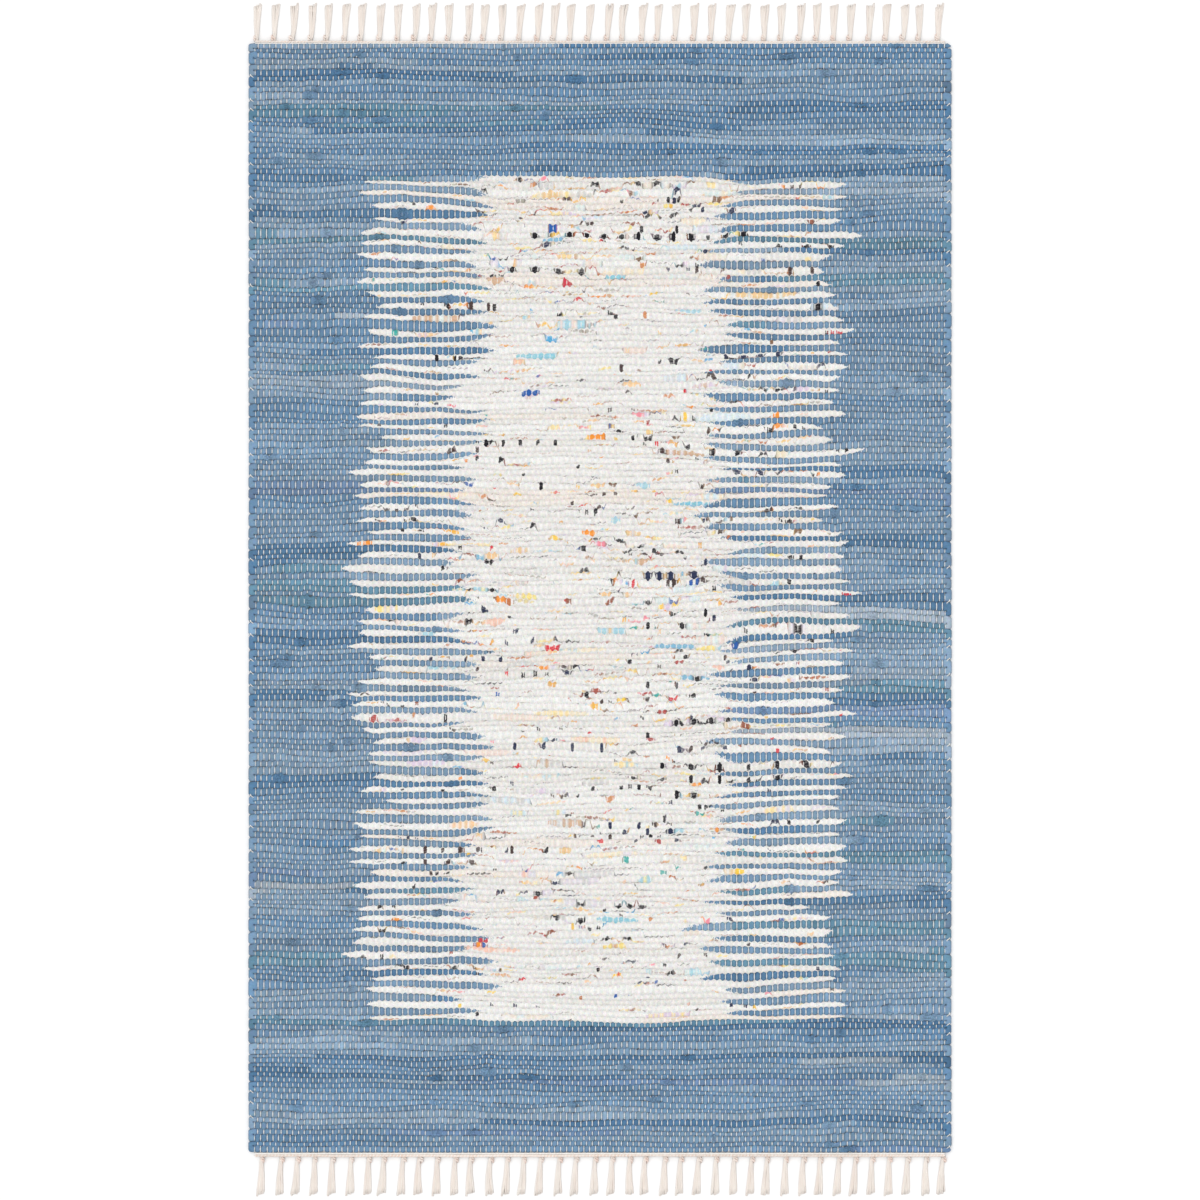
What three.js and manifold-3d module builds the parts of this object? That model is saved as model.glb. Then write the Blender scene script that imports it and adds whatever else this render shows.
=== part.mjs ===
// A flat-woven cotton rag rug: one cloth of fat rag wefts packed on a cotton warp, with the warp
// ends knotted into a row of tassels past each end. It lies flat on its underside, which is z = 0.
// Millimetres, +Z up, +X across the rug, +Y along it towards the far fringe. The origin is the
// middle of the footprint, at floor level.
import * as THREE from "three";
import { mergeVertices } from "three/addons/utils/BufferGeometryUtils.js";
import Module from "manifold-3d";

const wasm = await Module();
wasm.setup();

// The woven cloth, without its fringe
const CLOTH_WIDTH = 914;
const CLOTH_LENGTH = 1444;
const CLOTH_THICKNESS = 6.4;
const GROOVE_HEIGHT = 4.3; // top of the cloth where two wefts meet
const SELVEDGE_HEIGHT = 3.4; // top of the turned wefts at the long edges
const SELVEDGE_BAND = 7; // width over which the long edges round down
const SELVEDGE_SCALLOP = { betweenTurns: 1.6, withinTurn: 0.4 }; // how far the edge draws in
const SCALLOP_UNEVENNESS = 0.4; // as a share of the draw-in between turns
const CORNER_DRAW_IN = 4; // how far each corner of the cloth draws in
const UNDERSIDE_INSET = 3; // the flat underside stops short of the rounded edge

// Wefts are finer in the two end borders than beside the middle panel
const END_BORDER = 174;
const END_WEFTS = 24;
const PANEL_WEFTS = 140;
const WEFTS = 2 * END_WEFTS + PANEL_WEFTS;

// How the wefts wander: reach across the rug, number of wefts that wander together, and amount
const WANDER = [
  { across: 300, wefts: 14, amount: 4.5 },
  { across: 150, wefts: 4, amount: 1.2 },
];
const STRAIGHT_END_WEFTS = 8; // the wandering fades out over these, so both ends are straight
const POINTS_ACROSS = 4; // points of the top face in each cross-section

// The fringe: a heading cord outside the last weft, and tassels knotted from six warp ends each
const TASSELS = 40;
const WARPS_PER_TASSEL = 6;
const WARP_SPACING = 3.787;
const TASSEL_SPACING = WARPS_PER_TASSEL * WARP_SPACING;
const TASSEL_ROW_OFFSET = -4.2; // the row of knots is a little nearer one corner
const TASSEL_JITTER = 1.8;
const FRINGE_REACH = { far: 52.5, near: 57 }; // from the cloth's end to the tips
const TIP_UNEVENNESS = 2;
const TASSEL_LEAN = { least: 1.7, most: 4.1 }; // sideways, from the knot to the tips
const UNEVENNESS_SEED = { far: 11, near: 23 };
const HEADING_LENGTH = 898;
const HEADING_HEIGHT = 3.6;
const CLOTH_TO_HEADING = 0.3;
const HEADING_WIDTH = { far: 3.9, near: 6.5 };

const KNOT = { length: 9, width: 10, height: 6.2, sidestep: -0.9 };
const KNOT_NECK = { width: 6.4, height: 3.7 };
const KNOT_IN_HEADING = 1.2;
const STRANDS_PER_TASSEL = 3;
const STRAND = { rootWidth: 1.7, tipWidth: 3.4, rootHeight: 3.4, tipHeight: 2.8 };
const STRAND_SPREAD = { root: 2.3, tip: 4.2 }; // distance between neighbours at each end
const STRAND_ROOT_IN_KNOT = 3;

// Both ends of the rug together are centred on the origin, so the cloth sits a little off it
const CLOTH_SHIFT = (FRINGE_REACH.near - FRINGE_REACH.far) / 2;

const rag = new THREE.MeshStandardMaterial({ name: "rag_weft", color: 0x6f8fb0, roughness: 0.95 });
const cotton = new THREE.MeshStandardMaterial({
  name: "cotton_warp",
  color: 0xece3d8,
  roughness: 0.9,
});

/** A repeatable number from 0 to 1 for two whole numbers. */
function scatter(a, b) {
  const s = Math.sin(a * 127.1 + b * 311.7) * 43758.5453;
  return s - Math.floor(s);
}

/** Smooth noise from -1 to 1 over a plane; each layer is a different one. */
function noise(u, v, layer) {
  const [i, j] = [Math.floor(u), Math.floor(v)];
  const ease = (t) => t * t * (3 - 2 * t);
  const [s, t] = [ease(u - i), ease(v - j)];
  const at = (di, dj) => scatter(i + di + 57 * layer, j + dj - 31 * layer);
  const low = THREE.MathUtils.lerp(at(0, 0), at(1, 0), s);
  const high = THREE.MathUtils.lerp(at(0, 1), at(1, 1), s);
  return 2 * THREE.MathUtils.lerp(low, high, t) - 1;
}

/** The y where weft number k starts, before any wandering. k counts from the far end. */
function evenWeftEdge(k) {
  const panelStep = (CLOTH_LENGTH - 2 * END_BORDER) / PANEL_WEFTS;
  const endStep = END_BORDER / END_WEFTS;
  const inPanel = THREE.MathUtils.clamp(k - END_WEFTS, 0, PANEL_WEFTS);
  return CLOTH_LENGTH / 2 - inPanel * panelStep - (k - inPanel) * endStep;
}

/** The y at a place x across the rug, k wefts from the far end; k may lie between two wefts. */
function weftEdge(k, x) {
  const fade = THREE.MathUtils.smoothstep(Math.min(k, WEFTS - k), 0, STRAIGHT_END_WEFTS);
  const wander = WANDER.reduce(
    (sum, w, layer) => sum + w.amount * noise(x / w.across, k / w.wefts, layer),
    0,
  );
  return evenWeftEdge(k) + fade * wander;
}

/** A closed solid skinned over rings that all have the same number of points. */
function loft(rings) {
  const size = rings[0].length;
  const index = [];
  for (let r = 0; r + 1 < rings.length; r++) {
    for (let i = 0; i < size; i++) {
      const [a, b] = [r * size + i, r * size + ((i + 1) % size)];
      index.push(a, b + size, b, a, a + size, b + size);
    }
  }
  const last = (rings.length - 1) * size;
  for (let i = 1; i + 1 < size; i++) {
    index.push(0, i, i + 1, last, last + i + 1, last + i);
  }
  const geometry = new THREE.BufferGeometry();
  geometry.setAttribute("position", new THREE.Float32BufferAttribute(rings.flat(2), 3));
  geometry.setIndex(index);
  return geometry;
}

/**
 * How far the long edge draws in beside groove number k. A weft turns round the edge into the
 * next one, so every other groove is inside a turn, and the two edges take turns at it.
 */
function grooveDrawIn(k, side) {
  if (k === 0 || k === WEFTS) {
    return CORNER_DRAW_IN;
  }
  const insideTurn = (k + (side > 0 ? 1 : 0)) % 2 === 1;
  const uneven = 1 - SCALLOP_UNEVENNESS * scatter(k, side);
  return insideTurn ? SELVEDGE_SCALLOP.withinTurn : SELVEDGE_SCALLOP.betweenTurns * uneven;
}

/** One cross-section of the cloth: over the top from edge to edge, and back underneath. */
function clothRing(k, topHeight, drawIn) {
  const half = CLOTH_WIDTH / 2;
  const inner = half - SELVEDGE_BAND;
  const at = (x, z) => [x, weftEdge(k, x) + CLOTH_SHIFT, z];
  const top = [];
  for (let i = 0; i < POINTS_ACROSS; i++) {
    top.push(at(inner * ((2 * i) / (POINTS_ACROSS - 1) - 1), topHeight));
  }
  const [left, right] = [-half + drawIn(-1), half - drawIn(1)];
  return [
    at(left, SELVEDGE_HEIGHT),
    ...top,
    at(right, SELVEDGE_HEIGHT),
    at(right - UNDERSIDE_INSET, 0),
    at(left + UNDERSIDE_INSET, 0),
  ];
}

/** The cloth: a rib for each weft across the whole top, and a flat underside. */
function clothGeometry() {
  const rings = [];
  for (let k = 0; k <= WEFTS; k++) {
    rings.push(clothRing(k, GROOVE_HEIGHT, (side) => grooveDrawIn(k, side)));
    if (k < WEFTS) {
      rings.push(clothRing(k + 0.5, CLOTH_THICKNESS, () => 0));
    }
  }
  return loft(rings);
}

/** A manifold solid from a three.js geometry, so that pieces can be joined. */
function solid(geometry) {
  const merged = mergeVertices(geometry, 1e-3);
  return new wasm.Manifold(
    new wasm.Mesh({
      numProp: 3,
      vertProperties: merged.attributes.position.array,
      triVerts: new Uint32Array(merged.index.array),
    }),
  );
}

/** A three.js geometry from a manifold solid. */
function geometryOf(manifold) {
  const mesh = manifold.getMesh();
  const geometry = new THREE.BufferGeometry();
  geometry.setAttribute("position", new THREE.Float32BufferAttribute(mesh.vertProperties, 3));
  geometry.setIndex(new THREE.BufferAttribute(mesh.triVerts, 1));
  geometry.computeVertexNormals();
  return geometry;
}

/** The heading cord: a flattened round cord that lies on the floor along the cloth's end. */
function headingGeometry(width) {
  const section = [
    { along: 0.2, up: 0 },
    { along: 0.8, up: 0 },
    { along: 1, up: 0.5 },
    { along: 0.75, up: 1 },
    { along: 0.25, up: 1 },
    { along: 0, up: 0.5 },
  ];
  return loft(
    [1, -1].map((side) =>
      section.map(({ along, up }) => [
        (side * HEADING_LENGTH) / 2,
        CLOTH_TO_HEADING + along * width,
        up * HEADING_HEIGHT,
      ]),
    ),
  );
}

/** A knot: a six-sided barrel with a flat underside, its neck towards the heading cord. */
function knotGeometry(x, start) {
  const rings = [
    { at: 0, ...KNOT_NECK, shift: 0 },
    { at: 0.5, width: KNOT.width, height: KNOT.height, shift: KNOT.sidestep },
    { at: 1, ...KNOT_NECK, shift: 0 },
  ];
  const section = [
    { across: 0.3, up: 0 },
    { across: 0.5, up: 0.5 },
    { across: 0.28, up: 1 },
    { across: -0.28, up: 1 },
    { across: -0.5, up: 0.5 },
    { across: -0.3, up: 0 },
  ];
  return loft(
    rings.map(({ at, width, height, shift }) =>
      section.map(({ across, up }) => [
        x + shift + across * width,
        start + at * KNOT.length,
        up * height,
      ]),
    ),
  );
}

/** One lock of a tassel's skirt: three-sided, flat on the floor, wider towards its tip. */
function strandGeometry(root, tip) {
  const ring = ({ x, y }, width, height) => [
    [x + width / 2, y, 0],
    [x, y, height],
    [x - width / 2, y, 0],
  ];
  return loft([
    ring(root, STRAND.rootWidth, STRAND.rootHeight),
    ring(tip, STRAND.tipWidth, STRAND.tipHeight),
  ]);
}

/** The fringe past one end of the cloth, far or near, laid out from the cloth's end towards +Y. */
function fringeGeometry(end) {
  const headingWidth = HEADING_WIDTH[end];
  const reach = FRINGE_REACH[end];
  const seed = UNEVENNESS_SEED[end];
  const pieces = [headingGeometry(headingWidth)];
  for (let i = 0; i < TASSELS; i++) {
    const jitter = TASSEL_JITTER * (2 * scatter(i, seed) - 1);
    const lean = THREE.MathUtils.lerp(TASSEL_LEAN.least, TASSEL_LEAN.most, scatter(i, seed + 1));
    const knotX = (i - (TASSELS - 1) / 2) * TASSEL_SPACING + TASSEL_ROW_OFFSET + jitter;
    const knotY = CLOTH_TO_HEADING + headingWidth - KNOT_IN_HEADING;
    pieces.push(knotGeometry(knotX, knotY));
    for (let s = 0; s < STRANDS_PER_TASSEL; s++) {
      const place = s - (STRANDS_PER_TASSEL - 1) / 2;
      const longest = s === i % STRANDS_PER_TASSEL;
      const shortfall = longest ? 0 : TIP_UNEVENNESS * scatter(i, seed + 2 + s);
      const root = {
        x: knotX + place * STRAND_SPREAD.root,
        y: knotY + KNOT.length - STRAND_ROOT_IN_KNOT,
      };
      const tip = { x: knotX + lean + place * STRAND_SPREAD.tip, y: reach - shortfall };
      pieces.push(strandGeometry(root, tip));
    }
  }
  return geometryOf(pieces.map(solid).reduce((whole, piece) => whole.add(piece)));
}

/** A named mesh in the rug's group. */
function addPiece(group, name, geometry, material) {
  const mesh = new THREE.Mesh(geometry, material);
  mesh.name = name;
  group.add(mesh);
  return mesh;
}

const rug = new THREE.Group();
addPiece(rug, "woven_cloth", clothGeometry(), rag);

const farFringe = addPiece(rug, "fringe_far", fringeGeometry("far"), cotton);
farFringe.position.y = CLOTH_LENGTH / 2 + CLOTH_SHIFT;

const nearFringe = addPiece(rug, "fringe_near", fringeGeometry("near"), cotton);
nearFringe.position.y = -CLOTH_LENGTH / 2 + CLOTH_SHIFT;
nearFringe.rotation.z = Math.PI;

export default rug;
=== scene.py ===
"""A cotton rag rug laid flat: rag wefts packed on a cotton warp, with a knotted fringe at each end.

The rug is really woven here. Each weft is a flattened rag that goes over and under 240 warp ends
and turns round the long edges, each warp end is a yarn that floats over every other weft, and each
tassel is a dozen yarns bound by a knot. Everything is in metres in the shared frame: +X across the
rug, +Y along it towards the far fringe, +Z up, with the floor at z = 0.
"""

import logging
import math
from dataclasses import dataclass, field
from enum import Enum
from typing import Any

import bpy
import numpy as np
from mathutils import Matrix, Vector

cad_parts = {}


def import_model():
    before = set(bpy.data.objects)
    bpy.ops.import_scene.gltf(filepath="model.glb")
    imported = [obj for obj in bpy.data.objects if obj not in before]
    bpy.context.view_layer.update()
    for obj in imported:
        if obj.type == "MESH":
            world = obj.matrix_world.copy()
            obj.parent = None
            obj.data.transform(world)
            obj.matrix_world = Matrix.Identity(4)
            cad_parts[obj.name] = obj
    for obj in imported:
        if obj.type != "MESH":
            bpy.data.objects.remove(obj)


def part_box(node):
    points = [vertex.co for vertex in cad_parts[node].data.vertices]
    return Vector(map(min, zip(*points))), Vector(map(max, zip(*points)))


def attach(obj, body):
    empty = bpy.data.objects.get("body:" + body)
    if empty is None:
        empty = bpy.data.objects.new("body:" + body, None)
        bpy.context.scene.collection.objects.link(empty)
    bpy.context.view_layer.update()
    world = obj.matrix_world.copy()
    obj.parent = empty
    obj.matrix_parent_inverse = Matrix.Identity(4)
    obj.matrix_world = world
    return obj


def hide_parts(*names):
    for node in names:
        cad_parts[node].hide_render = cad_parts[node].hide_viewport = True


LOG = logging.getLogger("rag_rug")
MM = 0.001
BODY = "root"
BAKE_MAP = "OFBake"

Array = np.ndarray
Box = tuple[tuple[float, ...], tuple[float, ...]]


class Slot(Enum):
    """The record's material slots."""

    RAG = "rag_weft"
    COTTON = "cotton_warp"


class End(Enum):
    """The two ends of the rug, with the turn that takes a fringe laid out towards +Y there."""

    FAR = 1.0
    NEAR = -1.0


def linear(hex_colour: str) -> tuple[float, float, float]:
    """Turn an sRGB hex colour to the linear values that shaders take.

    Args:
        hex_colour: the colour, as "#rrggbb".

    Returns:
        Linear red, green and blue.
    """
    parts = [int(hex_colour[i : i + 2], 16) / 255 for i in (1, 3, 5)]
    return tuple(c / 12.92 if c <= 0.04045 else ((c + 0.055) / 1.055) ** 2.4 for c in parts)


def palette(colours: tuple[str, ...]) -> Array:
    """Turn a row of hex colours to an array of linear ones, shape (colours, 3)."""
    return np.array([linear(c) for c in colours])


def smoothstep(x: Array, low: float, high: float) -> Array:
    """Ease from 0 at low to 1 at high."""
    t = np.clip((x - low) / (high - low), 0, 1)
    return t * t * (3 - 2 * t)


def scatter(a: Array, b: Array) -> Array:
    """Give a repeatable number from 0 to 1 for two whole numbers, as the rug's solids do."""
    s = np.sin(a * 127.1 + b * 311.7) * 43758.5453
    return s - np.floor(s)


def slow_noise(u: Array, v: Array, layer: int) -> Array:
    """Give smooth noise from -1 to 1 over a plane, the same as the rug's solids have.

    Args:
        u: the first coordinate, in cells.
        v: the second coordinate, in cells.
        layer: which noise.

    Returns:
        The noise at each place.
    """
    i, j = np.floor(u), np.floor(v)
    s, t = smoothstep(u - i, 0, 1), smoothstep(v - j, 0, 1)
    corner = {
        (di, dj): scatter(i + di + 57 * layer, j + dj - 31 * layer) for di in (0, 1) for dj in (0, 1)
    }
    low = corner[0, 0] + (corner[1, 0] - corner[0, 0]) * s
    high = corner[0, 1] + (corner[1, 1] - corner[0, 1]) * s
    return 2 * (low + (high - low) * t) - 1


def blur(values: Array, reach: float, axis: int) -> Array:
    """Blur a grid along one axis.

    Args:
        values: the grid, of two axes.
        reach: the blur's standard deviation, in cells.
        axis: the axis to blur along.

    Returns:
        The blurred grid.
    """
    at = np.arange(values.shape[axis])
    kernel = np.exp(-0.5 * ((at[:, None] - at[None]) / reach) ** 2)
    kernel /= kernel.sum(axis=1, keepdims=True)
    return kernel @ values if axis == 0 else values @ kernel.T


def soft_noise(
    rng: np.random.Generator, shape: tuple[int, int], rows: float = 0.0, columns: float = 0.0
) -> Array:
    """Make noise of mean 0 and spread 1 that changes slowly over a grid.

    Args:
        rng: the seeded source.
        shape: the grid's rows and columns.
        rows: the blur from row to row, in cells, or 0 for none.
        columns: the blur along a row, in cells, or 0 for none.

    Returns:
        The grid of noise.
    """
    values = rng.standard_normal(shape)
    if rows:
        values = blur(values, rows, 0)
    if columns:
        values = blur(values, columns, 1)
    return (values - values.mean()) / values.std()


def between(pair: tuple[float, float], t: Array) -> Array:
    """Go evenly from the first of a pair at t = 0 to the second at t = 1."""
    return pair[0] + (pair[1] - pair[0]) * t


@dataclass
class Tubes:
    """Closed tubes of one make, each a run of rings with the same number of corners.

    Attributes:
        rings: corner places in metres, shape (tubes, rings, corners, 3). The corners go over the
            top from the left to the right of the way that the tube runs, and back underneath.
        marks: named values at the corners, shape (tubes, rings, corners) or with a last axis of 3.
        shares: how much of a strip of the bake map each side gets.
        region: the part of the bake map for these tubes, as (left, bottom, right, top).
        columns: how many strips lie side by side in that region.
    """

    rings: Array
    marks: dict[str, Array] = field(default_factory=dict)
    shares: tuple[float, ...] = ()
    region: tuple[float, float, float, float] = (0.0, 0.0, 1.0, 1.0)
    columns: int = 1

    # The gap beside each strip, as a share of its height, and the width of the place of each cap
    # past its end, as a share of its length. A cap reaches from the middle of its place by the
    # given shares of that width and of the strip's height.
    STRIP_MARGIN = 0.04
    CAP_SHARE = 0.012
    CAP_REACH = (0.4, 0.2)

    @property
    def shape(self) -> tuple[int, int, int]:
        """Number of tubes, rings and corners."""
        return self.rings.shape[:3]

    def sides(self) -> Array:
        """List the corners of each side face, shape (faces, 4), facing out."""
        tubes, rings, corners = self.shape
        index = np.arange(tubes * rings * corners).reshape(tubes, rings, corners)
        turned = np.roll(index, -1, axis=2)
        around = [index[:, :-1], turned[:, :-1], turned[:, 1:], index[:, 1:]]
        return np.stack(around, axis=-1).reshape(-1, 4)

    def caps(self) -> Array:
        """List the corners of each end face, shape (2 x tubes, corners), facing out."""
        tubes, rings, corners = self.shape
        index = np.arange(tubes * rings * corners).reshape(tubes, rings, corners)
        return np.concatenate([index[:, 0, ::-1], index[:, -1]])

    def spread_mark(self, mark: str) -> Array:
        """Spread a mark over every corner, shape (corners,) or (corners, 3)."""
        values = np.asarray(self.marks[mark], dtype=float)
        if values.ndim == 4:
            return np.broadcast_to(values, (*self.shape, 3)).reshape(-1, 3)
        return np.broadcast_to(values, self.shape).reshape(-1)

    def strips(self) -> tuple[Array, Array, Array, Array]:
        """Work out where each tube's strip lies on the bake map.

        Returns:
            The left, bottom, width and height of the strips, each of shape (tubes,).
        """
        tubes = self.shape[0]
        left, bottom, right, top = self.region
        rows = math.ceil(tubes / self.columns)
        wide, high = (right - left) / self.columns, (top - bottom) / rows
        column, row = np.arange(tubes) % self.columns, np.arange(tubes) // self.columns
        gap = self.STRIP_MARGIN * high
        width = np.full(tubes, wide * (1 - 3 * self.CAP_SHARE))
        height = np.full(tubes, high - 2 * gap)
        return left + column * wide, bottom + row * high + gap, width, height

    def _side_places(self) -> Array:
        """Lay the side faces out as strips, shape (corners of the side faces, 2)."""
        _, rings, corners = self.shape
        left, bottom, width, height = self.strips()
        shares = np.array(self.shares or (1.0,) * corners)
        across = np.concatenate([[0], np.cumsum(shares / shares.sum())])
        along = np.linspace(0, 1, rings)
        u = left[:, None, None] + width[:, None, None] * along[None, :, None]
        v = bottom[:, None, None] + height[:, None, None] * across[None, None, :]
        grid = np.stack(np.broadcast_arrays(u, v), axis=-1)
        near, far = grid[:, :-1], grid[:, 1:]
        around = [near[:, :, :-1], near[:, :, 1:], far[:, :, 1:], far[:, :, :-1]]
        return np.stack(around, axis=3).reshape(-1, 2)

    def _cap_places(self) -> Array:
        """Lay the end faces out past their strips, shape (corners of the end faces, 2)."""
        corners = self.shape[2]
        left, bottom, width, height = self.strips()
        angles = 2 * math.pi * np.arange(corners) / corners
        ring = np.stack([np.cos(angles), np.sin(angles)], axis=-1) * self.CAP_REACH
        size = np.stack([width * self.CAP_SHARE, height], axis=-1)
        caps = []
        for place in (1, 2):
            past_end = left + width * (1 + place * self.CAP_SHARE)
            middle = np.stack([past_end, bottom + height / 2], axis=-1)
            caps.append(middle[:, None] + ring[None] * size[:, None])
        return np.concatenate(caps).reshape(-1, 2)

    def bake_places(self) -> Array:
        """Lay every face out on the bake map, shape (corners of all faces, 2)."""
        return np.concatenate([self._side_places(), self._cap_places()])


def triangle_count(mesh: bpy.types.Mesh) -> int:
    """Count the triangles that a mesh's faces come to."""
    return sum(len(face.vertices) - 2 for face in mesh.polygons)


def build_piece(name: str, sets: list[Tubes]) -> bpy.types.Object:
    """Make one object of several sets of tubes, with their marks and their bake map.

    Args:
        name: the object's name.
        sets: the tubes. All of them carry the same marks.

    Returns:
        The new object, at the origin, with its place in its mesh.
    """
    corners, firsts, smooth = [], [], []
    corner_count = 0
    face_corner_count = 0
    for tubes in sets:
        for faces, is_side in ((tubes.sides(), True), (tubes.caps(), False)):
            corners.append((faces + corner_count).ravel())
            firsts.append(face_corner_count + np.arange(len(faces)) * faces.shape[1])
            smooth.append(np.full(len(faces), is_side))
            face_corner_count += faces.size
        corner_count += math.prod(tubes.shape)
    mesh = bpy.data.meshes.new(name)
    mesh.vertices.add(corner_count)
    mesh.vertices.foreach_set("co", np.concatenate([tubes.rings.reshape(-1) for tubes in sets]))
    mesh.loops.add(face_corner_count)
    mesh.loops.foreach_set("vertex_index", np.concatenate(corners))
    face_starts = np.concatenate(firsts)
    mesh.polygons.add(len(face_starts))
    mesh.polygons.foreach_set("loop_start", face_starts)
    mesh.polygons.foreach_set("use_smooth", np.concatenate(smooth))
    mesh.update(calc_edges=True)
    for mark in sets[0].marks:
        values = np.concatenate([tubes.spread_mark(mark) for tubes in sets])
        is_vector = values.ndim == 2
        attribute = mesh.attributes.new(mark, "FLOAT_VECTOR" if is_vector else "FLOAT", "POINT")
        attribute.data.foreach_set("vector" if is_vector else "value", values.ravel())
    layer = mesh.uv_layers.new(name=BAKE_MAP)
    layer.data.foreach_set("uv", np.concatenate([tubes.bake_places() for tubes in sets]).ravel())
    piece = bpy.data.objects.new(name, mesh)
    bpy.context.collection.objects.link(piece)
    LOG.info("%s: %d triangles", name, triangle_count(mesh))
    return piece


@dataclass(frozen=True)
class Wander:
    """A slow wandering of the wefts, as in the rug's solids.

    Attributes:
        across: how far across the rug it takes to change.
        wefts: how many wefts it takes to change.
        amount: how far the wefts wander.
    """

    across: float
    wefts: float
    amount: float


@dataclass(frozen=True)
class Loom:
    """The plan of the weave: where each warp end and each weft lies before any rag is chosen.

    Attributes:
        box: the cloth's lowest and highest corners.
        warp_ends: how many warp yarns there are.
        turn_depth: how far the turned wefts reach past the outermost warp end.
        end_wefts: wefts in each plain end border.
        panel_wefts: wefts beside the middle panel.
        end_border: the length of each plain end border.
        wanders: how whole groups of wefts wander.
        straight_wefts: the wandering fades out over so many wefts at each end.
        beaten_over: thick and thin wefts even each other out over so many wefts.
    """

    box: Box
    warp_ends: int = 240
    turn_depth: float = 7.8 * MM
    end_wefts: int = 24
    panel_wefts: int = 140
    end_border: float = 174 * MM
    wanders: tuple[Wander, ...] = (Wander(300 * MM, 14, 4.5 * MM), Wander(150 * MM, 4, 1.2 * MM))
    straight_wefts: int = 8
    beaten_over: float = 5.0

    @property
    def wefts(self) -> int:
        """Number of wefts in all."""
        return self.panel_wefts + 2 * self.end_wefts

    @property
    def half_width(self) -> float:
        """Half the cloth's width."""
        return (self.box[1][0] - self.box[0][0]) / 2

    @property
    def length(self) -> float:
        """The cloth's length without the fringes."""
        return self.box[1][1] - self.box[0][1]

    def warp_x(self) -> Array:
        """Place the warp ends across the rug, shape (warp ends,)."""
        reach = self.half_width - self.turn_depth
        return np.linspace(-reach, reach, self.warp_ends)

    def even_edges(self) -> Array:
        """Place the edges between wefts before they wander, shape (wefts + 1,)."""
        edge = np.arange(self.wefts + 1)
        in_panel = np.clip(edge - self.end_wefts, 0, self.panel_wefts)
        panel_step = (self.length - 2 * self.end_border) / self.panel_wefts
        end_step = self.end_border / self.end_wefts
        return self.box[1][1] - in_panel * panel_step - (edge - in_panel) * end_step

    def wandered_edges(self, fullness: Array) -> Array:
        """Place the edges between wefts, with the rags' own thicknesses beaten together.

        Args:
            fullness: how thick each weft is at each warp end, 1 being the mean, shape
                (wefts, warp ends).

        Returns:
            The y of each edge at each warp end, shape (wefts + 1, warp ends).
        """
        even = self.even_edges()
        edge = np.arange(self.wefts + 1)
        steps = -np.diff(even)[:, None] * fullness / blur(fullness, self.beaten_over, 0)
        beaten = np.concatenate([np.zeros((1, self.warp_ends)), np.cumsum(steps, axis=0)])
        beaten *= self.length / beaten[-1]
        fade = smoothstep(np.minimum(edge, self.wefts - edge), 0, self.straight_wefts)
        across, along = np.meshgrid(self.warp_x(), edge.astype(float))
        wander = sum(
            w.amount * slow_noise(across / w.across, along / w.wefts, layer)
            for layer, w in enumerate(self.wanders)
        )
        return even[0] - beaten + fade[:, None] * wander


@dataclass(frozen=True)
class FleckKind:
    """A kind of coloured mark that the prints on the old cloth leave in the white rags.

    Attributes:
        weight: how common the kind is.
        warps: the fewest and most warp gaps that one mark is long.
        width: the least and most half width of a mark, 1 being the whole rag's half width.
        tones: its colours.
        repeats: the fewest and most marks in a row.
        spacing: the fewest and most warp gaps from one mark of a row to the next.
        strays: how far from the rag's middle line a mark may lie.
        on_top: whether the marks of a row fall where the rag lies on top of the warp.
        end_tone: the colour of the mark's two ends, or nothing for the same colour.
        mixing: the share of a mark that takes a second colour of the same kind.
    """

    weight: float
    warps: tuple[int, int]
    width: tuple[float, float]
    tones: tuple[str, ...]
    repeats: tuple[int, int] = (1, 1)
    spacing: tuple[int, int] = (2, 2)
    strays: float = 0.6
    on_top: bool = False
    end_tone: str = ""
    mixing: float = 0.0


BLACK = "#1d1b22"
BRIGHTS = ("#d8323f", "#f2953a", "#f6c945", "#ef8f9d", "#3fa9a2", "#5aa9d4", "#2f5fa8", "#f0b23c")
WARMS = ("#c07244", "#a9574a", "#d08c5c", "#94553f", "#b04f4c", "#80624a", "#e0a95a", "#ebbe5c")
PALES = ("#f3dca6", "#edc494", "#edc3b2", "#f0da8c", "#d9cadb", "#a9cfdb", "#cfac90", "#e6c494")
FAINTS = ("#dcd6dd", "#d8e2e0", "#ecdfc8", "#e9d8cf", "#d6d5d4", "#d2dfe6", "#e4dacd", "#d0cecb")
SKIES = ("#74b8cf", "#8ac4d4", "#7fb4cf")
DARKS = (BLACK, BLACK, BLACK, "#2b3350", "#4a3a38")
GREYS = ("#b3aea0", "#a9a59c", "#bdb1a4", "#aeb0b4")
DUSTY = ("#b08a80", "#77706c", "#9a958f", "#2b2930", "#8b7a86")

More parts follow.
